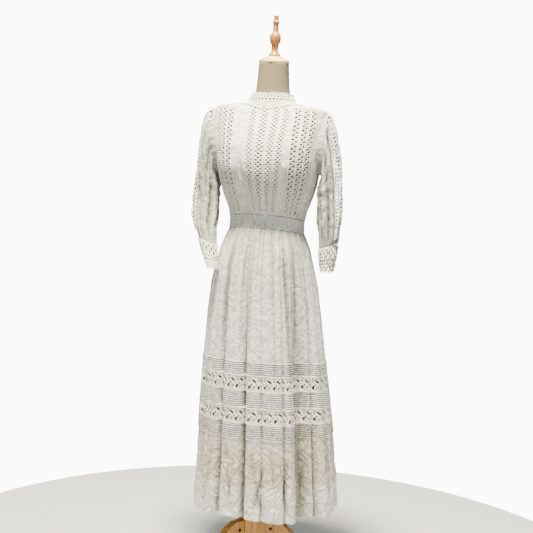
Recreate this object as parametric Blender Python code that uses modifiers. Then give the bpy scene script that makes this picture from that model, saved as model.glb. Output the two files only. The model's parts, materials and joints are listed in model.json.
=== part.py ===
"""A white lace dress of about 1908, worn by a limbless dress form with a turned finial and a wooden tripod.

Metres, +Z up, the front faces -Y. The origin is on the floor under the middle of the part.
Angles run round the figure from +X, so -90 degrees is the front and +90 the back.
"""

from collections import namedtuple
from math import copysign, cos, pi, radians, sin, tan

import bmesh
import bpy
from mathutils import Vector

# Cloth
LAWN_WALL = 0.0014  # the thin cotton lawn
LACE_WALL = 0.0018  # the corded lace
SEAM_GAP = 0.0006  # left between pieces that are sewn together
LACE_GAP = 0.0009  # the same above the left cuff and under the collar, whose walls turn sharply
SLANT_GAP = 0.0015  # the same above the right cuff, whose seam slants
CUFF_SIDE_GAP = 0.0015  # between the two halves of a cuff
SQUARENESS = 2.2  # exponent of the rings: 2 is an ellipse

# Heights of the seams, at the sides of the figure
WAIST_LOW = 1.117
WAIST_HIGH = 1.159
LACE_1_TOP = 0.671
LACE_1_LOW = 0.626
LACE_2_TOP = 0.573
LACE_2_LOW = 0.528
HEM = 0.238
NECK_SEAM = 1.524
COLLAR_HIGH = 1.552

# How far the waist rises towards the front, and towards the figure's left
WAIST_RISE_FRONT = 0.014
WAIST_RISE_LEFT = -0.003

Ring = namedtuple("Ring", "z side front back")

# The skirt's crests: half width, depth before the axis and depth behind it
SKIRT = [
    Ring(0.205, 0.2355, 0.2200, 0.2450),
    Ring(0.335, 0.2265, 0.2100, 0.2370),
    Ring(0.500, 0.2145, 0.1960, 0.2240),
    Ring(0.600, 0.2065, 0.1860, 0.2130),
    Ring(0.720, 0.1960, 0.1730, 0.1970),
    Ring(0.850, 0.1845, 0.1580, 0.1760),
    Ring(0.930, 0.1745, 0.1470, 0.1600),
    Ring(1.000, 0.1620, 0.1350, 0.1420),
    Ring(1.060, 0.1470, 0.1210, 0.1220),
    Ring(1.095, 0.1345, 0.1095, 0.1060),
    Ring(1.118, 0.1235, 0.0985, 0.0925),
]

# The bodice: bloused over the waistband, fullest below the bust, and sloping to the neck seam
BODICE = [
    Ring(1.140, 0.1195, 0.0930, 0.0870),
    Ring(1.180, 0.1260, 0.1060, 0.0940),
    Ring(1.215, 0.1380, 0.1240, 0.1020),
    Ring(1.265, 0.1530, 0.1440, 0.1110),
    Ring(1.330, 0.1640, 0.1560, 0.1170),
    Ring(1.375, 0.1680, 0.1500, 0.1190),
    Ring(1.420, 0.1720, 0.1300, 0.1170),
    Ring(1.465, 0.1770, 0.1040, 0.1070),
    Ring(1.495, 0.1770, 0.0850, 0.0920),
    Ring(1.508, 0.1420, 0.0760, 0.0820),
    Ring(1.517, 0.1050, 0.0710, 0.0750),
    Ring(1.524, 0.0760, 0.0690, 0.0690),
]

# How far the shoulders stand above the table's levels, and where that grows from nothing
SHOULDER_RISE_RIGHT = 0.012
SHOULDER_RISE_LEFT = 0.004
FORM_RISE = 0.90  # the form's share of that
SHOULDER_NEAR = 0.080
SHOULDER_FAR = 0.170
SHOULDER_LOW = 1.380
SHOULDER_HIGH = 1.490

# The dress form: a general figure, without limbs, from its flat base to the top of its neck
FORM = [
    Ring(0.860, 0.1380, 0.0960, 0.1120),
    Ring(0.930, 0.1480, 0.1030, 0.1200),
    Ring(1.000, 0.1430, 0.1030, 0.1130),
    Ring(1.070, 0.1180, 0.0900, 0.0880),
    Ring(1.145, 0.1080, 0.0830, 0.0770),
    Ring(1.220, 0.1180, 0.0960, 0.0850),
    Ring(1.290, 0.1350, 0.1180, 0.0950),
    Ring(1.335, 0.1450, 0.1280, 0.1000),
    Ring(1.390, 0.1540, 0.1120, 0.1030),
    Ring(1.465, 0.1640, 0.0860, 0.0930),
    Ring(1.4928, 0.1745, 0.0830, 0.0900),
    Ring(1.5058, 0.1415, 0.0748, 0.0808),
    Ring(1.5148, 0.1045, 0.0698, 0.0738),
    Ring(1.5215, 0.0740, 0.0660, 0.0660),
    Ring(1.540, 0.0600, 0.0560, 0.0580),
    Ring(1.575, 0.0525, 0.0510, 0.0520),
    Ring(1.650, 0.0475, 0.0475, 0.0475),
]

# The collar's lower and upper edge
COLLAR = [
    Ring(1.505, 0.0815, 0.0720, 0.0720),
    Ring(1.525, 0.0760, 0.0690, 0.0690),
    Ring(1.552, 0.0630, 0.0610, 0.0600),
    Ring(1.575, 0.0610, 0.0590, 0.0580),
]

# The waistband, which is nearly straight
WAISTBAND = [
    Ring(1.100, 0.1225, 0.0980, 0.0920),
    Ring(1.145, 0.1200, 0.0945, 0.0885),
    Ring(1.190, 0.1215, 0.0980, 0.0900),
]
WAISTBAND_COLUMNS = 28
WAISTBAND_ROWS = 5
WAISTBAND_RIDGE = 0.0011

Fold = namedtuple("Fold", "angle depth")

# The skirt's folds: where each valley lies round the figure, in degrees, and its depth at the hem
FOLDS = [
    Fold(-174, 0.032),
    Fold(-150, 0.036),
    Fold(-136, 0.012),
    Fold(-121, 0.042),
    Fold(-97, 0.052),
    Fold(-84, 0.018),
    Fold(-65, 0.022),
    Fold(-51, 0.050),
    Fold(-29, 0.036),
    Fold(-12, 0.024),
    Fold(-1, 0.026),
    Fold(14, 0.034),
    Fold(32, 0.036),
    Fold(52, 0.042),
    Fold(71, 0.030),
    Fold(91, 0.040),
    Fold(109, 0.032),
    Fold(130, 0.042),
    Fold(149, 0.034),
    Fold(167, 0.038),
]
FOLD_STEPS = (0.0, 0.13, 0.32, 0.5, 0.68, 0.87)  # the columns of one fold, as shares of its pitch
STEEP_BEFORE = 8  # how suddenly a panel turns into its valley
STEEP_AFTER = 3  # and how suddenly the next panel comes out of it

# One broad hollow, where a big fold swings back under the skirt
HOLLOW_ANGLE = -42
HOLLOW_REACH = 20
HOLLOW_DEPTH = 0.065

# Down the skirt: how far the folds have grown, the depth of the waist's gathers, what is left of the
# waist's lift, and how far the skirt hangs over to the figure's left
Drape = namedtuple("Drape", "z fold gather lift across")
DRAPE = [
    Drape(0.205, 1.00, 0.0, 0.10, 0.035),
    Drape(0.335, 0.95, 0.0, 0.25, 0.031),
    Drape(0.500, 0.83, 0.0, 0.40, 0.024),
    Drape(0.600, 0.73, 0.0, 0.50, 0.018),
    Drape(0.720, 0.58, 0.0, 0.60, 0.012),
    Drape(0.850, 0.38, 0.0004, 0.70, 0.006),
    Drape(0.930, 0.24, 0.0010, 0.80, 0.002),
    Drape(1.000, 0.13, 0.0018, 0.90, 0.0),
    Drape(1.060, 0.05, 0.0028, 1.00, 0.0),
    Drape(1.118, 0.0, 0.0036, 1.00, 0.0),
]

SKIRT_UPPER_ROWS = (0.0, 0.27, 0.54, 0.77, 0.93, 1.0)  # shares of the way up to the waist
HEM_STITCHING = 0.340
LACE_ROWS = (0.0, 0.22, 0.45, 0.55, 0.78, 1.0)  # shares of a band's height: two rows of gaps
LACE_REPEATS = 25  # round half of the skirt; a repeat has one gap in each row
LACE_START = 0.6  # where the front half starts, in turns of the folds
LACE_LEAN = 0.5  # how far a gap leans, as a share of its width
HEM_SWAY = 0.005
HEM_SWAY_WAVES = 3
HEM_SWAY_START = 1.0  # radians

# Armhole: its middle height, half height, and half width as an angle round the figure
ARMHOLE_MIDDLE = 1.399
ARMHOLE_HALF = 0.096
ARMHOLE_REACH = radians(24)
ARM_SIDES = 12
BODICE_LOW_ROWS = (0.0, 0.14, 0.36, 0.66)  # shares of the way from the waist seam to the underarm
BODICE_TOP_ROWS = (0.55, 1.0)  # shares of the way from the shoulder tip to the neck seam
BODICE_GATHER = 0.0040
BODICE_GATHER_END = 1.290
FRONT_COLUMNS = 28
BACK_COLUMNS = 10

SleeveRing = namedtuple("SleeveRing", "outer_x outer_z inner_x inner_z depth y")

# The sleeves below the armhole, down to the cuff seam, and the cuffs below that
LEFT_SLEEVE = [
    SleeveRing(0.1900, 1.4900, 0.1700, 1.2950, 0.0590, 0.000),
    SleeveRing(0.2050, 1.4500, 0.1660, 1.2640, 0.0600, 0.000),
    SleeveRing(0.2240, 1.3800, 0.1630, 1.2340, 0.0570, -0.002),
    SleeveRing(0.2350, 1.2900, 0.1620, 1.2000, 0.0530, -0.004),
    SleeveRing(0.2390, 1.2150, 0.1640, 1.1680, 0.0500, -0.008),
    SleeveRing(0.2410, 1.1560, 0.1670, 1.1320, 0.0500, -0.013),
    SleeveRing(0.2400, 1.1160, 0.1700, 1.1000, 0.0480, -0.017),
    SleeveRing(0.2350, 1.0900, 0.1720, 1.0740, 0.0440, -0.020),
]
LEFT_CUFF = [
    SleeveRing(0.2350, 1.0900, 0.1720, 1.0740, 0.0440, -0.020),
    SleeveRing(0.2320, 1.0520, 0.1760, 1.0380, 0.0420, -0.023),
    SleeveRing(0.2250, 1.0080, 0.1830, 1.0060, 0.0390, -0.027),
]
RIGHT_SLEEVE = [
    SleeveRing(0.2020, 1.4880, 0.1700, 1.2950, 0.0590, 0.000),
    SleeveRing(0.2190, 1.4480, 0.1660, 1.2640, 0.0600, 0.000),
    SleeveRing(0.2310, 1.3780, 0.1630, 1.2360, 0.0570, -0.002),
    SleeveRing(0.2370, 1.2900, 0.1600, 1.2020, 0.0530, -0.006),
    SleeveRing(0.2380, 1.2150, 0.1590, 1.1680, 0.0500, -0.016),
    SleeveRing(0.2340, 1.1620, 0.1560, 1.1340, 0.0500, -0.032),
    SleeveRing(0.2230, 1.1280, 0.1510, 1.1030, 0.0480, -0.051),
    SleeveRing(0.2060, 1.0980, 0.1460, 1.0740, 0.0430, -0.066),
]
RIGHT_CUFF = [
    SleeveRing(0.2060, 1.0980, 0.1460, 1.0740, 0.0430, -0.066),
    SleeveRing(0.1880, 1.0560, 0.1390, 1.0380, 0.0380, -0.086),
    SleeveRing(0.1630, 1.0080, 0.1310, 1.0020, 0.0320, -0.104),
]
CUFF_ROWS = (0.0, 0.14, 0.42, 0.56, 0.84, 1.0)
CUFF_CELLS = 7  # round one half of a cuff; every second one has gaps
CUFF_POINT = 0.006
COLLAR_CELLS = 11
COLLAR_ROWS = (0.0, 0.30, 0.74, 1.0)
COLLAR_POINT = 0.003

# Dress form: its neck cap leans with the finial
NECK_TOP = 1.650
CAP_LEAN_FRONT = radians(5.0)
CAP_LEAN_LEFT = radians(1.5)
FORM_SIDES = 20

Turned = namedtuple("Turned", "up radius")
CAP = [
    Turned(0.0210, 0.0170),
    Turned(0.0200, 0.0230),
    Turned(0.0150, 0.0330),
    Turned(0.0120, 0.0400),
    Turned(0.0080, 0.0480),
    Turned(0.0020, 0.0490),
    Turned(0.0, 0.0470),
]
FINIAL = [
    Turned(0.1250, 0.0065),
    Turned(0.1235, 0.0078),
    Turned(0.1100, 0.0080),
    Turned(0.1070, 0.0112),
    Turned(0.1035, 0.0118),
    Turned(0.0995, 0.0090),
    Turned(0.0750, 0.0094),
    Turned(0.0680, 0.0150),
    Turned(0.0590, 0.0182),
    Turned(0.0460, 0.0172),
    Turned(0.0330, 0.0118),
    Turned(0.0200, 0.0105),
    Turned(0.0100, 0.0135),
    Turned(0.0025, 0.0195),
    Turned(0.0, 0.0190),
]
CAP_SIDES = 16
FINIAL_SIDES = 10

# Stand: a tripod of flat boards round a hub, turned a little from the dress
STAND_AT = Vector((-0.010, 0.012, 0.0))
STAND_TURN = radians(27)
HUB_WIDE = 0.060  # the face between two legs
HUB_NARROW = 0.036  # the face that takes a leg
HUB_LOW = 0.030
HUB_HIGH = 0.275
POLE_RADIUS = 0.014
LEG_THICK = 0.025
LEG_ANGLES = (radians(-150), radians(-30), radians(90))  # before the stand is turned
LEG_TOP = 0.178
LEG_LOW = 0.045
LEG_REACH = 0.180  # from the hub's face to the tip of the foot
LEG_FLAT = 0.038  # level stretch of the top edge beside the hub
LEG_BEND = 1.5  # power of the curve from there to the foot
LEG_STEPS = 5
FOOT_LONG = 0.045
FOOT_TIP_HIGH = 0.028
BOLT_RADIUS = 0.0055
BOLT_PROUD = 0.0025
BOLT_OUT = 0.022
BOLT_HIGH = 0.150
BOLT_HANDS = (1, -1, -1)  # the side of each leg that carries its bolt's head
POLE_SIDES = 12
BOLT_SIDES = 8
SHARP_ANGLE = radians(45)
TOUCH_GAP = 0.0003

# The figure's own axis stands here, so that the origin lies under the middle of the whole part
FIGURE_AT = Vector((-0.014, -0.012, 0.0))


def clear_scene():
    for obj in list(bpy.data.objects):
        bpy.data.objects.remove(obj)


def new_collection(name):
    collection = bpy.data.collections.new(name)
    bpy.context.scene.collection.children.link(collection)
    return collection


def new_material(name, colour, roughness, metallic=0.0):
    material = bpy.data.materials.new(name)
    material.use_nodes = True
    shader = material.node_tree.nodes["Principled BSDF"]
    shader.inputs["Base Color"].default_value = (*colour, 1.0)
    shader.inputs["Roughness"].default_value = roughness
    shader.inputs["Metallic"].default_value = metallic
    return material


def add_object(name, data, material, smooth=True):
    """An object in the part's collection, shaded smooth but for its sharp edges."""
    data.materials.append(material)
    obj = bpy.data.objects.new(name, data)
    PART.objects.link(obj)
    obj.parent = FIGURE
    if smooth and isinstance(data, bpy.types.Mesh):
        data.shade_smooth()
        data.set_sharp_from_angle(angle=SHARP_ANGLE)
    return obj


def add_empty(name, parent=None):
    empty = bpy.data.objects.new(name, None)
    PART.objects.link(empty)
    empty.parent = parent
    return empty


def mix(low, high, share):
    return low + (high - low) * share


def eased_slope(before, after):
    """The slope where two stretches meet: their harmonic mean, or level at a turning point."""
    return 2 * before * after / (before + after) if before * after > 0 else 0.0


def row_at(table, z):
    """The row of a table at height z, column by column, by a cubic that never overshoots."""
    z = min(max(z, table[0].z), table[-1].z)
    k = next(i for i in range(1, len(table)) if table[i].z >= z)
    near = [table[min(max(i, 0), len(table) - 1)] for i in range(k - 2, k + 2)]
    span = near[2].z - near[1].z
    t = (z - near[1].z) / span
    values = []
    for a, b, c, d in zip(*(row[1:] for row in near)):
        rise = (c - b) / span
        into = eased_slope((b - a) / (near[1].z - near[0].z), rise) if k > 1 else rise
        out = eased_slope(rise, (d - c) / (near[3].z - near[2].z)) if near[3].z > near[2].z else rise
        values.append(
            b * (1 + 2 * t) * (1 - t) ** 2
            + into * span * t * (1 - t) ** 2
            + c * t * t * (3 - 2 * t)
            - out * span * t * t * (1 - t)
        )
    return type(near[1])(z, *values)


def on_ring(ring, angle, inward=0.0):
    """The point of a ring at an angle, moved inwards square to the ring."""
    power = 2 / SQUARENESS
    c, s = cos(angle), sin(angle)
    depth = ring.front if s < 0 else ring.back
    x = ring.side * copysign(abs(c) ** power, c)
    y = depth * copysign(abs(s) ** power, s)
    out = Vector((x / ring.side**2, y / depth**2, 0.0)).normalized()
    return Vector((x, y, ring.z)) - inward * out


def waist_lift(angle):
    """How far the waist's seams lie above their level: they rise to the front and sink to the figure's left."""
    return WAIST_RISE_LEFT * cos(angle) - WAIST_RISE_FRONT * sin(angle)


def lifted(spot, lift):
    return spot + Vector((0.0, 0.0, lift))


def eased(low, high, value):
    share = min(max((value - low) / (high - low), 0.0), 1.0)
    return share * share * (3 - 2 * share)


def shouldered(spot, share=1.0):
    """A point of the shoulders, raised as far as the dress's own are there."""
    rise = share * (SHOULDER_RISE_LEFT if spot.x > 0 else SHOULDER_RISE_RIGHT)
    across = eased(SHOULDER_NEAR, SHOULDER_FAR, abs(spot.x))
    return lifted(spot, rise * across * eased(SHOULDER_LOW, SHOULDER_HIGH, spot.z))


def cloth(name, columns, rows, point, material, wall, closed=False, cut=None, flip=False):
    """One piece of cloth: point(column, row) is its outer face, and Solidify thickens it inwards.

    cut(column, row) says which cells are gaps. flip turns a piece whose columns run the other way round.
    """
    mesh = bpy.data.meshes.new(name)
    grid = bmesh.new()
    verts = [[grid.verts.new(point(i, j)) for i in range(columns + (not closed))] for j in range(rows + 1)]
    for j in range(rows):
        for i in range(columns):
            if cut and cut(i, j):
                continue
            right = (i + 1) % len(verts[j])
            corners = (verts[j][i], verts[j][right], verts[j + 1][right], verts[j + 1][i])
            grid.faces.new(corners[::-1] if flip else corners)
    grid.to_mesh(mesh)
    grid.free()
    obj = add_object(name, mesh, material)
    solidify = obj.modifiers.new("Wall", "SOLIDIFY")
    solidify.thickness = wall
    solidify.offset = -1.0
    solidify.use_rim = True
    return obj


def fold_at(turn):
    """(angle, depth) of the skirt's folds at a turn, which counts the folds and their shares."""
    fold, phase = int(turn // 1) % len(FOLDS), turn % 1
    here, after = FOLDS[fold], FOLDS[(fold + 1) % len(FOLDS)]
    angle = here.angle + (after.angle - here.angle) % 360 * phase
    if phase < 0.5:
        depth = here.depth * (1 - 2 * phase) ** STEEP_AFTER
    else:
        depth = after.depth * (2 * phase - 1) ** STEEP_BEFORE
    off = abs(angle - HOLLOW_ANGLE)
    hollow = HOLLOW_DEPTH * cos(pi / 2 * off / HOLLOW_REACH) ** 2 if off < HOLLOW_REACH else 0.0
    return radians(angle), depth + hollow


def skirt_point(turn, level, gathered=0.0):
    """The skirt's outer face at a turn and a level: folds below, and gathers under the waist."""
    angle, depth = fold_at(turn)
    drape = row_at(DRAPE, level)
    spot = on_ring(row_at(SKIRT, level), angle, depth * drape.fold + gathered * drape.gather)
    sway = HEM_SWAY * sin(HEM_SWAY_WAVES * angle + HEM_SWAY_START) if level == HEM else 0.0
    return spot + Vector((drape.across, 0.0, drape.lift * waist_lift(angle) + sway))


def skirt_tier(name, levels, material):
    """A plain tier of the skirt, all the way round."""

    steps = len(FOLD_STEPS)

    def point(i, j):
        return skirt_point(i // steps + FOLD_STEPS[i % steps], levels[j], 1 - i % 2)

    cloth(name, steps * len(FOLDS), len(levels) - 1, point, material, LAWN_WALL, closed=True)


def skirt_lace(name, low, high, first, side, material):
    """Half a band of insertion lace, with two rows of gaps that lean towards each other."""
    cells = 2 * LACE_REPEATS
    width = len(FOLDS) / 2 / cells
    leans = {1: -1, 2: 1, 3: -1, 4: 1}  # in halves of the lean, by row

    def point(i, j):
        place = i + leans.get(j, 0) * LACE_LEAN / 2 * (0 < i < cells)
        level = mix(low + SEAM_GAP / 2, high - SEAM_GAP / 2, LACE_ROWS[j])
        return skirt_point(first + place * width, level) + Vector((0.0, side * SEAM_GAP / 2, 0.0))

    def cut(i, j):
        return (j == 1 and i % 2 == 0) or (j == 3 and i % 2 == 1)

    return cloth(name, cells, len(LACE_ROWS) - 1, point, material, LACE_WALL, cut=cut)


def make_skirt(lawn, lace):
    low, high = LACE_1_TOP + SEAM_GAP / 2, WAIST_LOW - SEAM_GAP / 2
    skirt_tier("skirt_upper", [mix(low, high, share) for share in SKIRT_UPPER_ROWS], lawn)
    skirt_tier("skirt_middle", [LACE_2_TOP + SEAM_GAP / 2, LACE_1_LOW - SEAM_GAP / 2], lawn)
    skirt_tier("skirt_lower", [HEM, HEM_STITCHING, LACE_2_LOW - SEAM_GAP / 2], lawn)
    bands = (("upper", LACE_1_LOW, LACE_1_TOP), ("lower", LACE_2_LOW, LACE_2_TOP))
    for band, low, high in bands:
        skirt_lace(f"skirt_lace_{band}_front", low, high, LACE_START, -1, lace)
        skirt_lace(f"skirt_lace_{band}_back", low, high, LACE_START + len(FOLDS) / 2, 1, lace)


def make_waistband(lawn):
    """The band, with its tucks as ridges."""

    def point(i, j):
        angle = 2 * pi * i / WAISTBAND_COLUMNS
        low, high = WAIST_LOW + SEAM_GAP / 2, WAIST_HIGH - SEAM_GAP / 2
        level = mix(low, high, j / WAISTBAND_ROWS)
        spot = on_ring(row_at(WAISTBAND, level), angle, WAISTBAND_RIDGE * (1 - j % 2))
        return lifted(spot, waist_lift(angle))

    cloth("waistband", WAISTBAND_COLUMNS, WAISTBAND_ROWS, point, lawn, LAWN_WALL, closed=True)


def armhole(turn):
    """(half angle, height) of the armhole's edge; turn is 0 at the underarm and pi at the shoulder."""
    return ARMHOLE_REACH * sin(turn), ARMHOLE_MIDDLE - ARMHOLE_HALF * cos(turn)


BodiceRow = namedtuple("BodiceRow", "level arm lift")


def bodice_rows():
    """Each row of the bodice from the waist to the neck.

    A row has its level, the armhole's half angle there, and its share of the waist's lift.
    """
    underarm = ARMHOLE_MIDDLE - ARMHOLE_HALF
    tip = ARMHOLE_MIDDLE + ARMHOLE_HALF
    waist, neck = WAIST_HIGH + SEAM_GAP / 2, NECK_SEAM - SEAM_GAP / 2
    rows = [BodiceRow(mix(waist, underarm, share), 0.0, 1 - share) for share in BODICE_LOW_ROWS]
    for k in range(ARM_SIDES // 2 + 1):
        half_angle, level = armhole(2 * pi * k / ARM_SIDES)
        rows.append(BodiceRow(level, half_angle, 0.0))
    return rows + [BodiceRow(mix(tip, neck, share), 0.0, 0.0) for share in BODICE_TOP_ROWS]


def bodice_point(angle, row, column):
    """The bodice's outer face, gathered into the waistband."""
    fade = max(0.0, (BODICE_GATHER_END - row.level) / (BODICE_GATHER_END - WAIST_HIGH))
    spot = on_ring(row_at(BODICE, row.level), angle, BODICE_GATHER * fade * (1 - column % 2))
    return shouldered(lifted(spot, row.lift * waist_lift(angle)))


def make_bodice(lawn):
    rows = bodice_rows()

    def front(i, j):
        angle = mix(-pi + rows[j].arm, -rows[j].arm, i / FRONT_COLUMNS)
        return bodice_point(angle, rows[j], i) - Vector((0.0, SEAM_GAP / 2, 0.0))

    def back(side):
        """side is +1 for the figure's left half and -1 for its right."""

        def point(i, j):
            share = i / BACK_COLUMNS if side > 0 else 1 - i / BACK_COLUMNS
            angle = mix(rows[j].arm, pi / 2, share)
            spot = bodice_point(angle if side > 0 else pi - angle, rows[j], i)
            return spot + Vector((side * SEAM_GAP / 2, SEAM_GAP / 2, 0.0))

        return point

    cloth("bodice_front", FRONT_COLUMNS, len(rows) - 1, front, lawn, LAWN_WALL)
    cloth("bodice_back_left", BACK_COLUMNS, len(rows) - 1, back(1), lawn, LAWN_WALL)
    cloth("bodice_back_right", BACK_COLUMNS, len(rows) - 1, back(-1), lawn, LAWN_WALL)


def make_collar(lace):
    """The stand collar: two halves that meet at the centre front and back, with a pointed upper edge."""
    for name, first, side in (("collar_left", -pi / 2, 1), ("collar_right", pi / 2, -1)):

        def point(i, j):
            angle = first + pi * i / COLLAR_CELLS
            level = mix(NECK_SEAM + LACE_GAP / 2, COLLAR_HIGH, COLLAR_ROWS[j])
            if j == len(COLLAR_ROWS) - 1:
                level += COLLAR_POINT * (i % 2)
            return on_ring(row_at(COLLAR, level), angle) + Vector((side * SEAM_GAP / 2, 0.0, 0.0))

        def cut(i, j):
            return j == 1 and i % 2 == 1

        cloth(name, COLLAR_CELLS, len(COLLAR_ROWS) - 1, point, lace, LACE_WALL, cut=cut)


def arm_point(ring, turn, side):
    """The point of a sleeve ring at a turn: 0 is the inner edge, a quarter the front and a half the outer edge."""
    inner = Vector((ring.inner_x, ring.y, ring.inner_z))
    outer = Vector((ring.outer_x, ring.y, ring.outer_z))
    spot = (inner + outer) / 2 + (inner - outer) / 2 * cos(turn)
    spot.y -= ring.depth * sin(turn)
    spot.x *= side
    return shouldered(spot)


def armhole_point(turn, side):
    """The sleeve's first ring: the armhole's edge, just outside the bodice."""
    half_angle, z = armhole(turn)
    spot = on_ring(row_at(BODICE, z), -half_angle)
    return shouldered(Vector((side * (spot.x + SEAM_GAP), spot.y, z)))


def make_sleeve(name, rings, side, lawn):
    def point(i, j):
        turn = 2 * pi * i / ARM_SIDES
        return armhole_point(turn, side) if j == 0 else arm_point(rings[j - 1], turn, side)

    cloth(name, ARM_SIDES, len(rings), point, lawn, LAWN_WALL, closed=True, flip=side > 0)


def between(rings, share):
    """The sleeve ring at a share of the way down a list of rings."""
    place = share * (len(rings) - 1)
    k = min(int(place), len(rings) - 2)
    return SleeveRing(*(mix(a, b, place - k) for a, b in zip(rings[k], rings[k + 1])))


def make_cuff(name, rings, side, gap, lace):
    """A lace cuff in a front and a back half, with two rows of gaps and a pointed edge."""
    for half, first, away in (("front", 0.0, -1), ("back", pi, 1)):

        def point(i, j):
            spot = arm_point(between(rings, CUFF_ROWS[j]), first + pi * i / CUFF_CELLS, side)
            spot.z -= gap if j == 0 else 0.0
            spot.z -= CUFF_POINT * (i % 2) if j == len(CUFF_ROWS) - 1 else 0.0
            return spot + Vector((0.0, away * CUFF_SIDE_GAP / 2, 0.0))

        def cut(i, j):
            return j in (1, 3) and i % 2 == 1

        cloth(
            f"{name}_{half}", CUFF_CELLS, len(CUFF_ROWS) - 1, point, lace, LACE_WALL, cut=cut, flip=side > 0
        )


def make_form(linen):
    """The padded figure, closed at its base and at the top of its neck, which leans with the cap."""
    mesh = bpy.data.meshes.new("form_torso")
    shape = bmesh.new()
    rings = []
    for ring in FORM:
        angles = [2 * pi * i / FORM_SIDES for i in range(FORM_SIDES)]
        spots = [shouldered(on_ring(ring, angle), FORM_RISE) for angle in angles]
        if ring.z == NECK_TOP:
            for spot in spots:
                spot.z += spot.y * tan(CAP_LEAN_FRONT) - spot.x * tan(CAP_LEAN_LEFT)
        rings.append([shape.verts.new(spot) for spot in spots])
    for low, high in zip(rings, rings[1:]):
        for i in range(FORM_SIDES):
            k = (i + 1) % FORM_SIDES
            shape.faces.new((low[i], low[k], high[k], high[i]))
    shape.faces.new(rings[0][::-1])
    shape.faces.new(rings[-1])
    shape.to_mesh(mesh)
    shape.free()
    add_object("form_torso", mesh, linen)


def turned(name, profile, sides, material, parent):
    """A turned wooden piece: its profile, from top to bottom, closed on the axis and spun by Screw."""
    mesh = bpy.data.meshes.new(name)
    line = [(0.0, 0.0, profile[0].up), *((p.radius, 0.0, p.up) for p in profile), (0.0, 0.0, profile[-1].up)]
    mesh.from_pydata(line, [(i, i + 1) for i in range(len(line) - 1)], [])
    obj = add_object(name, mesh, material, smooth=False)
    screw = obj.modifiers.new("Turn", "SCREW")
    screw.steps = screw.render_steps = sides
    screw.use_merge_vertices = True
    screw.merge_threshold = 0.0001
    screw.use_smooth_shade = True
    obj.parent = parent
    return obj


def make_cap(wood):
    """The wooden cap on the neck and the finial on it, on one leaning empty."""
    lean = add_empty("cap_lean", FIGURE)
    lean.location = (0.0, 0.0, NECK_TOP + TOUCH_GAP)
    lean.rotation_euler = (CAP_LEAN_FRONT, CAP_LEAN_LEFT, 0.0)
    turned("neck_cap", CAP, CAP_SIDES, wood, lean)
    finial = turned("finial", FINIAL, FINIAL_SIDES, wood, lean)
    finial.location.z = CAP[0].up + TOUCH_GAP


def hub_outline():
    """The hub's six corners: wide faces between the legs and narrow faces that take them."""
    to_narrow = (2 * HUB_WIDE + HUB_NARROW) / (2 * 3**0.5)
    corners = []
    for angle in LEG_ANGLES:
        out = Vector((cos(angle), sin(angle), 0.0))
        across = Vector((-sin(angle), cos(angle), 0.0))
        for hand in (-1, 1):
            corners.append(out * to_narrow + across * hand * HUB_NARROW / 2)
    return corners, to_narrow


def flat_outline(name, outline, thick, material, smooth=False):
    """A flat piece: a filled 2D curve, extruded to its thickness."""
    curve = bpy.data.curves.new(name, "CURVE")
    curve.dimensions = "2D"
    curve.fill_mode = "BOTH"
    curve.extrude = thick / 2
    spline = curve.splines.new("POLY")
    spline.points.add(len(outline) - 1)
    for point, (x, y) in zip(spline.points, outline):
        point.co = (x, y, 0.0, 1.0)
    spline.use_cyclic_u = True
    return add_object(name, curve, material, smooth)


def leg_outline():
    """A leg seen from its side: level by the hub, then curving down to a flat foot."""
    drop = LEG_TOP - FOOT_TIP_HIGH
    shares = [step / LEG_STEPS for step in range(LEG_STEPS + 1)]
    top = [(mix(LEG_FLAT, LEG_REACH, share), LEG_TOP - drop * share**LEG_BEND) for share in shares]
    inner = LEG_REACH - FOOT_LONG
    under = [(inner * cos(a), LEG_LOW * sin(a)) for a in (0.0, pi / 6, pi / 3, pi / 2)]
    return [(0.0, LEG_TOP), *top, (LEG_REACH, 0.0), *under]


def make_stand(wood, steel, black):
    """The steel pole, the hub and its three bolted legs."""
    stand = add_empty("stand", FIGURE)
    stand.location = STAND_AT
    stand.rotation_euler.z = STAND_TURN
    corners, to_narrow = hub_outline()

    hub = flat_outline("stand_hub", [corner.xy for corner in corners], HUB_HIGH - HUB_LOW, wood)
    hub.parent = stand
    hub.location.z = (HUB_HIGH + HUB_LOW) / 2

    pole_low, pole_high = HUB_HIGH + TOUCH_GAP, FORM[0].z - TOUCH_GAP
    bpy.ops.mesh.primitive_cylinder_add(vertices=POLE_SIDES, radius=POLE_RADIUS, depth=pole_high - pole_low)
    pole = bpy.context.object
    take(pole, "stand_pole", steel, stand, Vector((0.0, 0.0, (pole_high + pole_low) / 2)))

    for number, angle in enumerate(LEG_ANGLES, 1):
        out = Vector((cos(angle), sin(angle), 0.0))
        leg = flat_outline(f"stand_leg_{number}", leg_outline(), LEG_THICK, wood)
        leg.parent = stand
        leg.location = out * (to_narrow + TOUCH_GAP)
        leg.rotation_euler = (pi / 2, 0.0, angle)
        side = Vector((-sin(angle), cos(angle), 0.0)) * BOLT_HANDS[number - 1]
        bpy.ops.mesh.primitive_cylinder_add(vertices=BOLT_SIDES, radius=BOLT_RADIUS, depth=BOLT_PROUD)
        bolt = bpy.context.object
        spot = out * (to_narrow + BOLT_OUT) + side * (LEG_THICK / 2 + TOUCH_GAP + BOLT_PROUD / 2)
        take(bolt, f"stand_bolt_{number}", black, stand, spot + Vector((0.0, 0.0, BOLT_HIGH)))
        bolt.rotation_euler = (pi / 2, 0.0, angle)


def take(obj, name, material, parent, location):
    """Names a primitive, gives it its material and parent, and moves it to the part's collection."""
    obj.name = name
    obj.data.name = name
    obj.data.materials.append(material)
    for collection in list(obj.users_collection):
        collection.objects.unlink(obj)
    PART.objects.link(obj)
    obj.parent = parent
    obj.location = location


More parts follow.
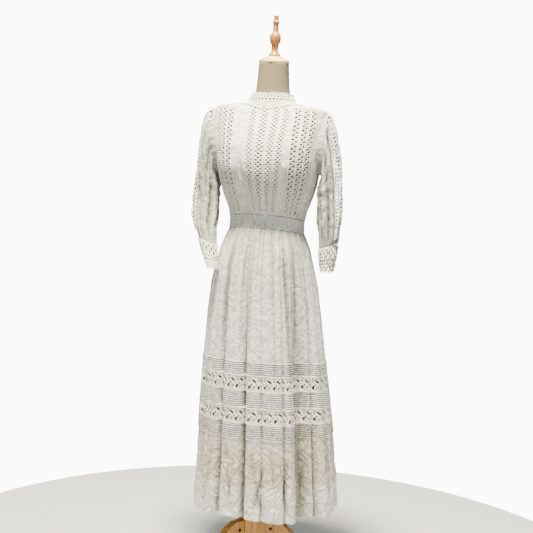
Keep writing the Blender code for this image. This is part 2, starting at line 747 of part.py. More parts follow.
clear_scene()
PART = new_collection("lace_dress_on_dress_form")
FIGURE = add_empty("figure")
FIGURE.location = FIGURE_AT
LAWN = new_material("cotton_lawn", (0.83, 0.82, 0.77), 0.85)
LACE = new_material("cotton_lace", (0.86, 0.84, 0.76), 0.9)
LINEN = new_material("form_linen", (0.56, 0.50, 0.42), 0.9)
BEECH = new_material("varnished_beech", (0.60, 0.36, 0.15), 0.4)
STEEL = new_material("steel_tube", (0.62, 0.62, 0.62), 0.35, 1.0)
BLACK = new_material("blackened_steel", (0.03, 0.03, 0.03), 0.5, 1.0)

make_skirt(LAWN, LACE)
make_waistband(LAWN)
make_bodice(LAWN)
make_collar(LACE)
make_sleeve("sleeve_left", LEFT_SLEEVE, 1, LAWN)
make_sleeve("sleeve_right", RIGHT_SLEEVE, -1, LAWN)
make_cuff("cuff_left", LEFT_CUFF, 1, LACE_GAP, LACE)
make_cuff("cuff_right", RIGHT_CUFF, -1, SLANT_GAP, LACE)
make_form(LINEN)
make_cap(BEECH)
make_stand(BEECH, STEEL, BLACK)
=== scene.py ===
import json
from math import cos, pi, radians, sin, tan

import bmesh
import bpy
import numpy as np
from mathutils import Euler, Matrix, Vector

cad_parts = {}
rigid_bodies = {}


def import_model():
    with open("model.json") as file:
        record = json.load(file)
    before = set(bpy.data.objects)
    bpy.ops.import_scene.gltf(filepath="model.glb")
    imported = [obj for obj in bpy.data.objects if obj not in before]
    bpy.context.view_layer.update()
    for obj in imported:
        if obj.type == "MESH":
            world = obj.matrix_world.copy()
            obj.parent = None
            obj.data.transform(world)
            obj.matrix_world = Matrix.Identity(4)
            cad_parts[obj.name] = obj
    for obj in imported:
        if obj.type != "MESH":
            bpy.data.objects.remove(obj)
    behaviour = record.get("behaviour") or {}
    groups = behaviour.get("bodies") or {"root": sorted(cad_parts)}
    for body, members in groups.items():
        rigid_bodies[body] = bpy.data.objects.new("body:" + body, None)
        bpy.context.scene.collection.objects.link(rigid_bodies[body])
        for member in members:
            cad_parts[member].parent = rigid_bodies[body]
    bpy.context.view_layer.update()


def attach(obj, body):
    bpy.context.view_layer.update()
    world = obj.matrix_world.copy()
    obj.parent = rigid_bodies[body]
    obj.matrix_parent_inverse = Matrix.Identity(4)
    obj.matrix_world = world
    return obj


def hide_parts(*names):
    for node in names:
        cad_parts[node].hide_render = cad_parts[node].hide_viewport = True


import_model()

print("lace dress: the frame is loaded")

# The dress stands a little off the middle of the whole part, which lies at the origin
figureAt = np.array([-0.014, -0.012, 0.0])


# Colours are given as on a screen and turned to linear light
def linear(hexColour):
    parts = [int(hexColour[i : i + 2], 16) / 255 for i in (1, 3, 5)]
    return tuple(p / 12.92 if p <= 0.04045 else ((p + 0.055) / 1.055) ** 2.4 for p in parts) + (1.0,)


# Adds one node: settings go to its inputs or its properties, links come from other nodes' outputs
def addNode(tree, kind, settings=None, links=None):
    node = tree.nodes.new(kind)
    for name, value in (settings or {}).items():
        if isinstance(name, int) or name in node.inputs:
            node.inputs[name].default_value = value
        else:
            setattr(node, name, value)
    for name, source in (links or {}).items():
        tree.links.new(source, node.inputs[name])
    return node


def newMaterial(name, **settings):
    material = bpy.data.materials.new(name)
    material.use_nodes = True
    tree = material.node_tree
    shader = tree.nodes["Principled BSDF"]
    for socket, value in settings.items():
        shader.inputs[socket.replace("_", " ")].default_value = value
    return material, tree, shader


# Values between the rows of a table, by a smooth curve that never overshoots
def along(table, at):
    table = np.array(table, dtype=float)
    knots, values = table[:, 0], table[:, 1:]
    at = np.clip(np.asarray(at, dtype=float), knots[0], knots[-1])
    rises = np.diff(values, axis=0) / np.diff(knots)[:, None]
    product = rises[:-1] * rises[1:]
    total = np.where(product > 0, rises[:-1] + rises[1:], 1.0)
    slopes = np.vstack([rises[:1], np.where(product > 0, 2 * product / total, 0.0), rises[-1:]])
    k = np.clip(np.searchsorted(knots, at, side="right") - 1, 0, len(knots) - 2)
    span = knots[k + 1] - knots[k]
    t = ((at - knots[k]) / span)[..., None]
    span = span[..., None]
    mixed = values[k] * (1 + 2 * t) * (1 - t) ** 2 + slopes[k] * span * t * (1 - t) ** 2
    mixed = mixed + values[k + 1] * t * t * (3 - 2 * t) - slopes[k + 1] * span * t * t * (1 - t)
    return np.moveaxis(mixed, -1, 0)


# The point of a ring (half width, depth in front, depth behind) at an angle; -90 degrees is the front
def onRing(side, front, back, angle, inward, level):
    power = 2 / 2.2
    c, s = np.cos(angle), np.sin(angle)
    depth = np.where(s < 0, front, back)
    x = side * np.sign(c) * np.abs(c) ** power
    y = depth * np.sign(s) * np.abs(s) ** power
    outX, outY = x / side**2, y / depth**2
    size = np.hypot(outX, outY)
    return np.stack([x - inward * outX / size, y - inward * outY / size, level + 0 * x], axis=-1)


def smooth(low, high, value):
    t = np.clip((value - low) / (high - low), 0.0, 1.0)
    return t * t * (3 - 2 * t)


# Soft seeded noise from -1 to 1, for the small unevenness of worn cotton
def softNoise(u, v, seed):
    lattice = np.random.default_rng(seed).uniform(-1, 1, (64, 64))
    iu, iv = np.floor(u).astype(int), np.floor(v).astype(int)
    fu, fv = u - iu, v - iv
    fu, fv = fu * fu * (3 - 2 * fu), fv * fv * (3 - 2 * fv)
    corner = [[lattice[(iu + a) % 64, (iv + b) % 64] for b in (0, 1)] for a in (0, 1)]
    low = corner[0][0] * (1 - fu) + corner[1][0] * fu
    high = corner[0][1] * (1 - fu) + corner[1][1] * fu
    return low * (1 - fv) + high * fv


# How far a listed crease presses the cloth in: angle and heights, width in metres, depth, lean
def creaseDepth(creases, angle, level, radius):
    total = np.zeros(np.broadcast(angle, level).shape)
    for degrees, top, low, width, depth, lean in creases:
        down = (top - level) / (top - low)
        centre = radians(degrees) + radians(lean) * down
        away = (angle - centre + pi) % (2 * pi) - pi
        fade = smooth(-0.02, 0.22, down) * (1 - smooth(0.7, 1.05, down))
        total = total + depth * fade * np.exp(-((away * radius / width) ** 2))
    return total


def gridNormals(spots, closed):
    if closed:
        wide = np.concatenate([spots[:, -2:-1], spots, spots[:, 1:2]], axis=1)
        across = wide[:, 2:] - wide[:, :-2]
    else:
        across = np.gradient(spots, axis=1)
    normal = np.cross(across, np.gradient(spots, axis=0))
    return normal / (np.linalg.norm(normal, axis=-1, keepdims=True) + 1e-12)


def newObject(name, mesh):
    obj = bpy.data.objects.new(name, mesh)
    bpy.context.scene.collection.objects.link(obj)
    return obj


# A cloth from a grid of points, row by row; its UV map is the flat cloth in metres, and crease, from 0 to 1,
# says how deep in a fold or groove each point lies, and so how much painted shade the lawn gets there
def makeCloth(name, spots, flat, closed=False, keep=None, flip=False, crease=None):
    rows, columns = spots.shape[0] - 1, spots.shape[1] - 1
    wide = columns if closed else columns + 1
    j, i = np.meshgrid(np.arange(rows), np.arange(columns), indexing="ij")
    far = (i + 1) % wide
    corners = np.stack([j * wide + i, j * wide + far, (j + 1) * wide + far, (j + 1) * wide + i], axis=-1)
    uv = np.stack([flat[:-1, :-1], flat[:-1, 1:], flat[1:, 1:], flat[1:, :-1]], axis=2)
    if flip:
        corners, uv = corners[..., ::-1], uv[:, :, ::-1]
    if keep is None:
        keep = np.ones((rows, columns), dtype=bool)
    corners, uv = corners[keep], uv[keep]
    used, corners = np.unique(corners, return_inverse=True)
    verts = (spots[:, :wide].reshape(-1, 3) + figureAt)[used]
    mesh = bpy.data.meshes.new(name)
    mesh.from_pydata(verts.tolist(), [], corners.reshape(-1, 4).tolist())
    layer = mesh.uv_layers.new(name="UVMap")
    layer.data.foreach_set("uv", uv.reshape(-1).astype(np.float32))
    if crease is not None:
        deep = np.clip(crease[:, :wide], 0, 1).reshape(-1)[used]
        mesh.attributes.new("crease", "FLOAT", "POINT").data.foreach_set("value", deep.astype(np.float32))
    mesh.shade_smooth()
    return newObject(name, mesh)


# Gives a thin piece its wall, on the inside
def addWall(obj, thickness):
    wall = obj.modifiers.new("wall", "SOLIDIFY")
    wall.thickness = thickness
    wall.offset = -1.0
    wall.use_rim = True
    return obj


def finishPiece(obj, material, slot, *nodes):
    if not obj.data.materials:
        obj.data.materials.append(material)
    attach(obj, "root")
    if nodes:
        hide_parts(*nodes)
    return obj


# The camera stands where the photograph was taken from, turned by its roll
photo = dict(azimuth=12.0, distance=3.2, eyeHigh=1.25, lookHigh=1.005, lookAcross=0.004, roll=2.5, focal=1000.0)
azimuth = radians(photo["azimuth"])
eye = Vector((photo["distance"] * sin(azimuth), -photo["distance"] * cos(azimuth), photo["eyeHigh"]))
look = Vector((photo["lookAcross"] * cos(azimuth), photo["lookAcross"] * sin(azimuth), photo["lookHigh"]))
shift = Vector(figureAt)
ahead = (look - eye).normalized()
right = ahead.cross(Vector((0, 0, 1))).normalized()
up = right.cross(ahead)
roll = radians(photo["roll"])
right, up = right * cos(roll) + up * sin(roll), up * cos(roll) - right * sin(roll)
cameraData = bpy.data.cameras.new("camera")
cameraData.sensor_width = 36.0
cameraData.lens = photo["focal"] * 36.0 / 533
camera = newObject("camera", cameraData)
turn = Matrix((right, up, -ahead)).transposed().to_4x4()
camera.matrix_world = Matrix.Translation(eye + shift) @ turn
bpy.context.scene.camera = camera
print("lace dress: camera")


# Cotton lawn, plain-woven and washed soft: matt, faintly fuzzy, off-white with a little yellowing.
# The real threads are 0.25 mm apart; they are drawn 1 mm apart so that they show at all.
# In its folds, grooves, dents and pinched lines it is painted greyer and browner as shade, and a few rust spots show on
# the skirt's front.
lawnLook = dict(
    white="#f7f6ee",
    aged="#e4e0d2",
    # the colour of the painted shade in the crumple's dents and in the pinched lines
    mottleShade="#b4b5a9",
    lowTone="#cabba0",
    # the colour of the painted shade in folds, grooves and gathers
    fold="#74725f",
    rust="#a37c3c",
    threadEvery=0.0010,
    crumple=0.0080,
    creaseDepth=0.0050,
    pinch=0.0045,
    # the rust spots: angle round the skirt, height and radius
    stains=[
        (-53.3, 0.879, 0.0042),
        (-62.6, 0.834, 0.0034),
        (-58.2, 0.833, 0.0030),
        (-96.0, 0.790, 0.0040),
        (-61.0, 1.067, 0.0036),
        (104.0, 0.700, 0.0036),
    ],
)


# Mixes two colours by a value
def mixed(tree, first, last, share):
    mix = addNode(tree, "ShaderNodeMix", {"data_type": "RGBA"}, {0: share})
    for socket, colour in ((6, first), (7, last)):
        if isinstance(colour, str):
            mix.inputs[socket].default_value = linear(colour)
        else:
            tree.links.new(colour, mix.inputs[socket])
    return mix.outputs[2]


# How near a point is to one of the rust spots, measured across the cloth's face
def rustShare(tree, place):
    total = None
    for degrees, level, radius in lawnLook["stains"]:
        side, front, back = along(skirt["rings"], level)
        spot = onRing(side, front, back, radians(degrees), 0.0, level) + figureAt
        away = addNode(tree, "ShaderNodeVectorMath", {"operation": "SUBTRACT", 1: tuple(spot)}, {0: place})
        flatter = addNode(
            tree, "ShaderNodeVectorMath", {"operation": "MULTIPLY", 1: (1.0, 0.08, 0.8)}, {0: away.outputs[0]}
        )
        far = addNode(tree, "ShaderNodeVectorMath", {"operation": "LENGTH"}, {0: flatter.outputs[0]})
        near = addNode(
            tree,
            "ShaderNodeMapRange",
            {"From Min": 1.3 * radius, "From Max": 0.3 * radius},
            {"Value": far.outputs["Value"]},
        )
        if total is None:
            total = near
        else:
            total = addNode(
                tree, "ShaderNodeMath", {"operation": "MAXIMUM"}, {0: total.outputs[0], 1: near.outputs[0]}
            )
    return total.outputs[0]


# gathered is how strongly the pinched lines show on a piece that is gathered to the waist
def makeLawn(name, gathered):
    material, tree, shader = newMaterial(name, Roughness=0.82, IOR=1.45)
    shader.inputs["Sheen Weight"].default_value = 0.12
    shader.inputs["Sheen Roughness"].default_value = 0.5
    place = addNode(tree, "ShaderNodeTexCoord")
    clouds = addNode(tree, "ShaderNodeTexNoise", {"Scale": 5.0, "Detail": 4.0}, {"Vector": place.outputs["Object"]})
    share = addNode(
        tree,
        "ShaderNodeMapRange",
        {"From Min": 0.38, "From Max": 0.78, "To Max": 0.8},
        {"Value": clouds.outputs["Fac"]},
    )
    creaseShade = addNode(tree, "ShaderNodeAttribute", {"attribute_name": "crease"})
    colour = mixed(tree, lawnLook["white"], lawnLook["aged"], share.outputs[0])
    # the plain cloth under the last tucks has yellowed more than the rest, the doubled hem less
    parts = addNode(tree, "ShaderNodeSeparateXYZ", {}, {0: place.outputs["Object"]})
    lower = addNode(
        tree,
        "ShaderNodeMapRange",
        {"From Min": 0.56, "From Max": 0.44, "To Max": 0.75},
        {"Value": parts.outputs["Z"]},
    )
    doubled = addNode(
        tree,
        "ShaderNodeMapRange",
        {"From Min": 0.345, "From Max": 0.335, "To Min": 1.0, "To Max": 0.4},
        {"Value": parts.outputs["Z"]},
    )
    yellowed = addNode(
        tree, "ShaderNodeMath", {"operation": "MULTIPLY"}, {0: lower.outputs[0], 1: doubled.outputs[0]}
    )
    colour = mixed(tree, colour, lawnLook["lowTone"], yellowed.outputs[0])
    # the crumpled cloth is painted darker in its dents, as shade
    stretched = addNode(tree, "ShaderNodeMapping", {"Scale": (1.0, 1.0, 0.42)}, {"Vector": place.outputs["Object"]})
    folds = addNode(
        tree,
        "ShaderNodeTexNoise",
        {"Scale": 118.0, "Detail": 4.0, "Roughness": 0.62, "Distortion": 0.35},
        {"Vector": stretched.outputs[0]},
    )
    dents = addNode(
        tree,
        "ShaderNodeMapRange",
        {"From Min": 0.52, "From Max": 0.34, "To Max": 0.70},
        {"Value": folds.outputs["Fac"]},
    )
    colour = mixed(tree, colour, lawnLook["mottleShade"], dents.outputs[0])
    # pinched lines, finer than the modelled gathers, run down and up from the waist, bumped and darkened with painted
    # shade
    flat = addNode(tree, "ShaderNodeUVMap", {"uv_map": "UVMap"})
    pulled = addNode(tree, "ShaderNodeMapping", {"Scale": (240.0, 6.0, 1.0)}, {"Vector": flat.outputs[0]})
    lines = addNode(
        tree, "ShaderNodeTexNoise", {"Scale": 1.0, "Detail": 3.0, "Roughness": 0.6}, {"Vector": pulled.outputs[0]}
    )
    above = addNode(
        tree,
        "ShaderNodeMapRange",
        {"From Min": 0.66, "From Max": 0.98, "To Min": 0.15, "To Max": 1.0},
        {"Value": parts.outputs["Z"]},
    )
    below = addNode(
        tree,
        "ShaderNodeMapRange",
        {"From Min": 1.40, "From Max": 1.14, "To Min": 0.15, "To Max": 1.0},
        {"Value": parts.outputs["Z"]},
    )
    both = addNode(tree, "ShaderNodeMath", {"operation": "MULTIPLY"}, {0: above.outputs[0], 1: below.outputs[0]})
    reach = addNode(tree, "ShaderNodeMath", {"operation": "MULTIPLY", 1: gathered}, {0: both.outputs[0]})
    pinched = addNode(tree, "ShaderNodeMath", {"operation": "MULTIPLY"}, {0: lines.outputs["Fac"], 1: reach.outputs[0]})
    darker = addNode(
        tree,
        "ShaderNodeMapRange",
        {"From Min": 0.50, "From Max": 0.34, "To Max": 0.5},
        {"Value": lines.outputs["Fac"]},
    )
    pinchShade = addNode(tree, "ShaderNodeMath", {"operation": "MULTIPLY"}, {0: darker.outputs[0], 1: reach.outputs[0]})
    colour = mixed(tree, colour, lawnLook["mottleShade"], pinchShade.outputs[0])
    # painted shade: greyer and browner where a point lies deep in a fold, groove or gather
    colour = mixed(tree, colour, lawnLook["fold"], creaseShade.outputs["Fac"])
    colour = mixed(tree, colour, lawnLook["rust"], rustShare(tree, place.outputs["Object"]))
    tree.links.new(colour, shader.inputs["Base Color"])
    threads = addNode(tree, "ShaderNodeSeparateXYZ", links={0: flat.outputs[0]})
    waves = []
    for axis in (0, 1):
        turnUp = addNode(
            tree,
            "ShaderNodeMath",
            {"operation": "MULTIPLY", 1: 2 * pi / lawnLook["threadEvery"]},
            {0: threads.outputs[axis]},
        )
        waves.append(addNode(tree, "ShaderNodeMath", {"operation": "SINE"}, {0: turnUp.outputs[0]}))
    weave = addNode(
        tree, "ShaderNodeMath", {"operation": "MULTIPLY"}, {0: waves[0].outputs[0], 1: waves[1].outputs[0]}
    )
    # sharp creases that slant both ways, deepest in the plain cloth above the hem
    sharp = []
    for slant in ((0.2, 0.62, 0.0), (-0.3, -0.75, 0.4)):
        slanted = addNode(
            tree,
            "ShaderNodeMapping",
            {"vector_type": "TEXTURE", "Rotation": slant, "Scale": (1.0, 1.0, 3.3)},
            {"Vector": place.outputs["Object"]},
        )
        settings = {"Scale": 40.0, "Detail": 2.5, "Roughness": 0.5, "Distortion": 0.6, "Offset": 1.0}
        settings = {"noise_type": "RIDGED_MULTIFRACTAL"} | settings
        sharp.append(addNode(tree, "ShaderNodeTexNoise", settings, {"Vector": slanted.outputs[0]}))
    sharpest = addNode(
        tree, "ShaderNodeMath", {"operation": "MAXIMUM"}, {0: sharp[0].outputs["Fac"], 1: sharp[1].outputs["Fac"]}
    )
    growth = addNode(
        tree,
        "ShaderNodeMapRange",
        {"From Min": 0.60, "From Max": 0.42, "To Min": 0.28, "To Max": 1.0},
        {"Value": parts.outputs["Z"]},
    )
    creased = addNode(
        tree, "ShaderNodeMath", {"operation": "MULTIPLY"}, {0: sharpest.outputs[0], 1: growth.outputs[0]}
    )
    fine = addNode(
        tree, "ShaderNodeBump", {"Strength": 0.35, "Distance": 0.00006}, {"Height": weave.outputs[0]}
    )
    slashes = addNode(
        tree,
        "ShaderNodeBump",
        {"Strength": 0.9, "Distance": lawnLook["creaseDepth"]},
        {"Height": creased.outputs[0], "Normal": fine.outputs["Normal"]},
    )
    crumple = addNode(
        tree,
        "ShaderNodeBump",
        {"Strength": 0.9, "Distance": lawnLook["crumple"]},
        {"Height": folds.outputs["Fac"], "Normal": slashes.outputs["Normal"]},
    )
    pulledIn = addNode(
        tree,
        "ShaderNodeBump",
        {"Strength": 0.9, "Distance": lawnLook["pinch"]},
        {"Height": pinched.outputs[0], "Normal": crumple.outputs["Normal"]},
    )
    tree.links.new(pulledIn.outputs["Normal"], shader.inputs["Normal"])
    return material


# Machine-made corded cotton lace: creamier than the lawn, matt, its threads lying as fine ribs.
# The cords are about 0.5 mm thick; the ribs are drawn 0.9 mm apart so that they show.
# The ground between the cords lies deeper and is painted greyer there as shade, by the relief that each lace stores.
laceLook = dict(cream="#fbf7ee", shade="#e6decb", groundShade="#bfb99c", ribEvery=0.0009)


def makeLace():
    material, tree, shader = newMaterial("cottonLace", Roughness=0.9, IOR=1.45)
    place = addNode(tree, "ShaderNodeTexCoord")
    clouds = addNode(tree, "ShaderNodeTexNoise", {"Scale": 60.0, "Detail": 3.0}, {"Vector": place.outputs["Object"]})
    share = addNode(tree, "ShaderNodeMapRange", {"From Min": 0.4, "From Max": 0.8}, {"Value": clouds.outputs["Fac"]})
    cords = addNode(tree, "ShaderNodeAttribute", {"attribute_name": "relief"})
    raised = addNode(tree, "ShaderNodeMapRange", {"From Min": 0.05, "From Max": 0.6}, {"Value": cords.outputs["Fac"]})
    colour = mixed(tree, laceLook["cream"], laceLook["shade"], share.outputs[0])
    # painted shade: the ground between the cords is greyer where it lies low
    colour = mixed(tree, laceLook["groundShade"], colour, raised.outputs[0])
    tree.links.new(colour, shader.inputs["Base Color"])
    flat = addNode(tree, "ShaderNodeUVMap", {"uv_map": "UVMap"})
    ribs = addNode(
        tree,
        "ShaderNodeTexWave",
        {"bands_direction": "DIAGONAL", "Scale": 1 / laceLook["ribEvery"] / 6.3, "Distortion": 2.0, "Detail": 1.0},
        {"Vector": flat.outputs[0]},
    )
    bump = addNode(tree, "ShaderNodeBump", {"Strength": 0.5, "Distance": 0.0002}, {"Height": ribs.outputs["Fac"]})
    tree.links.new(bump.outputs["Normal"], shader.inputs["Normal"])
    return material


# Unbleached linen over the dress form: matt and grainy, with slubs along both threads.
# Real linen has a thread every 0.6 mm; here every 1.1 mm.
linenLook = dict(light="#867a5f", dark="#63573c")


def makeLinen():
    material, tree, shader = newMaterial("formLinen", Roughness=0.88, IOR=1.45)
    flat = addNode(tree, "ShaderNodeUVMap", {"uv_map": "UVMap"})
    slubs = []
    for stretch in ((900.0, 60.0, 1.0), (60.0, 900.0, 1.0)):
        turned = addNode(tree, "ShaderNodeMapping", {"Scale": stretch}, {"Vector": flat.outputs[0]})
        slubs.append(addNode(tree, "ShaderNodeTexNoise", {"Scale": 1.0, "Detail": 2.0}, {"Vector": turned.outputs[0]}))
    both = addNode(
        tree, "ShaderNodeMath", {"operation": "MAXIMUM"}, {0: slubs[0].outputs["Fac"], 1: slubs[1].outputs["Fac"]}
    )
    share = addNode(tree, "ShaderNodeMapRange", {"From Min": 0.42, "From Max": 0.72}, {"Value": both.outputs[0]})
    tree.links.new(mixed(tree, linenLook["dark"], linenLook["light"], share.outputs[0]), shader.inputs["Base Color"])
    bump = addNode(tree, "ShaderNodeBump", {"Strength": 0.6, "Distance": 0.0004}, {"Height": both.outputs[0]})
    tree.links.new(bump.outputs["Normal"], shader.inputs["Normal"])
    return material


# Wood under varnish: warm, with fine dark lines along the grain and a clear glossy coat.
# grain is the direction that the lines run in, as the stretch of the noise along x, y and z.
def makeWood(name, light, dark, grain, rough, coat):
    material, tree, shader = newMaterial(name, Roughness=rough, IOR=1.5)
    shader.inputs["Coat Weight"].default_value = coat
    shader.inputs["Coat Roughness"].default_value = 0.12
    place = addNode(tree, "ShaderNodeTexCoord")
    turned = addNode(tree, "ShaderNodeMapping", {"Scale": grain}, {"Vector": place.outputs["Object"]})
    lines = addNode(
        tree,
        "ShaderNodeTexNoise",
        {"Scale": 1.0, "Detail": 6.0, "Roughness": 0.62, "Distortion": 0.8},
        {"Vector": turned.outputs[0]},
    )
    share = addNode(tree, "ShaderNodeMapRange", {"From Min": 0.35, "From Max": 0.68}, {"Value": lines.outputs["Fac"]})
    tree.links.new(mixed(tree, dark, light, share.outputs[0]), shader.inputs["Base Color"])
    bump = addNode(tree, "ShaderNodeBump", {"Strength": 0.2, "Distance": 0.0003}, {"Height": lines.outputs["Fac"]})
    tree.links.new(bump.outputs["Normal"], shader.inputs["Normal"])
    return material


# Drawn steel tube and blackened bolts: metal with fine length-wise draw marks
def makeSteel(name, hexColour, rough):
    material, tree, shader = newMaterial(name, Metallic=1.0)
    shader.inputs["Base Color"].default_value = linear(hexColour)
    place = addNode(tree, "ShaderNodeTexCoord")
    turned = addNode(tree, "ShaderNodeMapping", {"Scale": (900.0, 900.0, 12.0)}, {"Vector": place.outputs["Object"]})
    marks = addNode(tree, "ShaderNodeTexNoise", {"Scale": 1.0, "Detail": 2.0}, {"Vector": turned.outputs[0]})
    share = addNode(
        tree, "ShaderNodeMapRange", {"To Min": rough - 0.08, "To Max": rough + 0.12}, {"Value": marks.outputs["Fac"]}
    )
    tree.links.new(share.outputs[0], shader.inputs["Roughness"])
    return material


lace = makeLace()
linen = makeLinen()
finialWood = makeWood("varnishedBeech", "#c08a42", "#8a5420", (160.0, 160.0, 14.0), 0.35, 0.7)
capWood = makeWood("palePine", "#f1d592", "#d9ad5c", (26.0, 220.0, 220.0), 0.42, 0.4)
boardWood = makeWood("oiledOak", "#ca9238", "#895820", (240.0, 240.0, 9.0), 0.5, 0.15)
poleSteel = makeSteel("drawnSteel", "#b9b9b6", 0.32)
boltSteel = makeSteel("blackenedSteel", "#2b2a29", 0.45)
print("lace dress: materials")


# The skirt: rings of its crests, the folds' valleys round it, and how it drapes on the way down
skirt = dict(
    rings=[
        (0.205, 0.2355, 0.2200, 0.2450),
        (0.335, 0.2265, 0.2100, 0.2370),
        (0.500, 0.2145, 0.1960, 0.2240),
        (0.600, 0.2065, 0.1860, 0.2130),
        (0.720, 0.1960, 0.1730, 0.1970),
        (0.850, 0.1845, 0.1580, 0.1760),
        (0.930, 0.1745, 0.1470, 0.1600),
        (1.000, 0.1620, 0.1350, 0.1420),
        (1.060, 0.1470, 0.1210, 0.1220),
        (1.095, 0.1345, 0.1095, 0.1060),
        (1.118, 0.1235, 0.0985, 0.0925),
    ],
    # the angle of each valley and its depth at the hem
    folds=[
        (-174, 0.032), (-150, 0.036), (-136, 0.012), (-121, 0.042), (-97, 0.052), (-84, 0.018), (-65, 0.022),
        (-51, 0.050), (-29, 0.036), (-12, 0.024), (-1, 0.026), (14, 0.034), (32, 0.036), (52, 0.042), (71, 0.030),
        (91, 0.040), (109, 0.032), (130, 0.042), (149, 0.034), (167, 0.038),
    ],
    # height, growth of the folds, depth of the gathers, share of the waist's lift, shift to the left
    drape=[
        (0.205, 1.00, 0.0, 0.10, 0.035),
        (0.335, 0.95, 0.0, 0.25, 0.031),
        (0.500, 0.83, 0.0, 0.40, 0.024),
        (0.600, 0.73, 0.0, 0.50, 0.018),
        (0.720, 0.58, 0.0006, 0.60, 0.012),
        (0.850, 0.38, 0.0018, 0.70, 0.006),
        (0.930, 0.24, 0.0030, 0.80, 0.002),
        (1.000, 0.13, 0.0040, 0.90, 0.0),
        (1.060, 0.05, 0.0048, 1.00, 0.0),
        (1.118, 0.0, 0.0052, 1.00, 0.0),
    ],
    hollowAngle=-42,
    hollowReach=20,
    hollowDepth=0.065,
    soften=0.009,  # how rounded the valleys are, in turns of a fold
    crowding=0.80,  # how much closer the columns of points stand in the valleys
    waist=1.117,
    laceTop=(0.671, 0.573),
    laceLow=(0.626, 0.528),
    hem=0.238,
    hemStitching=0.340,
    tuckEvery=0.0064,
    tuckProud=0.0024,
    # angle, top, bottom, width, depth and lean of the long creases, the front ones as photographed
    creases=[
        (-147, 1.08, 0.70, 0.006, 0.0035, -4),
        (-124, 1.09, 0.66, 0.008, 0.0045, 2),
        (-119, 1.09, 0.80, 0.005, 0.0030, -3),
        (-103, 1.10, 0.68, 0.006, 0.0035, 3),
        (-94, 1.10, 0.72, 0.005, 0.0040, 0),
        (-74, 1.11, 0.56, 0.004, 0.0038, 2),
        (-60, 1.08, 0.60, 0.010, 0.0060, 4),
        (-44, 1.09, 0.70, 0.007, 0.0050, -2),
        (-30, 1.06, 0.74, 0.006, 0.0035, 2),
        (-12, 1.07, 0.70, 0.006, 0.0035, -3),
        (8, 1.08, 0.66, 0.007, 0.0040, 3),
        (26, 1.09, 0.72, 0.005, 0.0035, -2),
        (43, 1.08, 0.62, 0.008, 0.0045, 3),
        (61, 1.10, 0.70, 0.006, 0.0035, -3),
        (80, 1.09, 0.60, 0.007, 0.0045, 2),
        (99, 1.10, 0.68, 0.005, 0.0035, 3),
        (118, 1.08, 0.64, 0.008, 0.0045, -3),
        (139, 1.09, 0.72, 0.006, 0.0035, 2),
        (158, 1.07, 0.66, 0.007, 0.0040, -2),
        (176, 1.08, 0.70, 0.006, 0.0035, 3),
        # short slanting ones in the plain cloth above the hem
        (-112, 0.47, 0.25, 0.005, 0.0050, 7),
        (-103, 0.44, 0.27, 0.004, 0.0040, -6),
        (-92, 0.46, 0.24, 0.005, 0.0050, 9),
        (-82, 0.40, 0.25, 0.004, 0.0050, -8),
        (-78, 0.47, 0.30, 0.006, 0.0045, 6),
        (-70, 0.43, 0.24, 0.004, 0.0050, 8),
        (-61, 0.45, 0.26, 0.005, 0.0045, -7),
        (-44, 0.46, 0.25, 0.005, 0.0040, 6),
        (-36, 0.42, 0.26, 0.004, 0.0045, -7),
        (-20, 0.45, 0.25, 0.005, 0.0045, 8),
        (-128, 0.45, 0.26, 0.005, 0.0040, -6),
        (-143, 0.44, 0.25, 0.004, 0.0045, 7),
        (-161, 0.45, 0.27, 0.005, 0.0040, -7),
        (6, 0.44, 0.25, 0.005, 0.0045, 7),
        (24, 0.46, 0.27, 0.004, 0.0040, -6),
        (43, 0.44, 0.25, 0.005, 0.0045, 8),
        (63, 0.45, 0.26, 0.004, 0.0045, -7),
        (81, 0.43, 0.25, 0.005, 0.0040, 6),
        (99, 0.46, 0.27, 0.005, 0.0045, -8),
        (119, 0.44, 0.25, 0.004, 0.0040, 7),
        (140, 0.45, 0.26, 0.005, 0.0045, -6),
        (158, 0.43, 0.25, 0.004, 0.0040, 7),
    ],
    # the cloth's flat size: round the hem, and from hem to waist
    flat=(3.0, 0.9),
)


lawn = makeLawn("cottonLawn", 1.0)
bandLawn = makeLawn("cottonLawnUngathered", 0.0)


def waistLift(angle):
    return -0.003 * np.cos(angle) - 0.014 * np.sin(angle)


# The folds' profile, sampled finely, softened and joined into a ring
def foldProfile():
    steps = 60
    folds = np.array(skirt["folds"], dtype=float)
    after = np.roll(folds, -1, axis=0)
    turns = np.arange(len(folds) * steps) / steps
    k, phase = turns.astype(int), turns % 1
    angle = folds[k, 0] + (after[k, 0] - folds[k, 0]) % 360 * phase
    before = folds[k, 1] * np.clip(1 - 2 * phase, 0, 1) ** 4
    depth = before + after[k, 1] * np.clip(2 * phase - 1, 0, 1) ** 9
    reach = int(4 * skirt["soften"] * steps)
    weights = np.exp(-((np.arange(-reach, reach + 1) / (skirt["soften"] * steps)) ** 2))
    padded = np.concatenate([depth[-reach:], depth, depth[:reach]])
    depth = np.convolve(padded, weights / weights.sum(), mode="valid")
    off = np.abs((angle - skirt["hollowAngle"] + 180) % 360 - 180) / skirt["hollowReach"]
    hollow = np.where(off < 1, skirt["hollowDepth"] * np.cos(pi / 2 * np.clip(off, 0, 1)) ** 2, 0.0)
    angle = np.unwrap(np.radians(angle))
    ends = len(folds), angle[0] + 2 * pi, depth[0], hollow[0]
    return [np.append(values, end) for values, end in zip((turns, angle, depth, hollow), ends)]


profileTurns, profileAngles, profileDepths, profileHollow = foldProfile()
foldCount = len(skirt["folds"])


# The angle of a turn of the folds, the depth of its valley and that of the broad hollow at the front
def foldsAt(turn):
    whole = np.floor(turn / foldCount)
    inside = turn - whole * foldCount
    found = [np.interp(inside, profileTurns, v) for v in (profileAngles, profileDepths, profileHollow)]
    return found[0] + 2 * pi * whole, found[1], found[2]


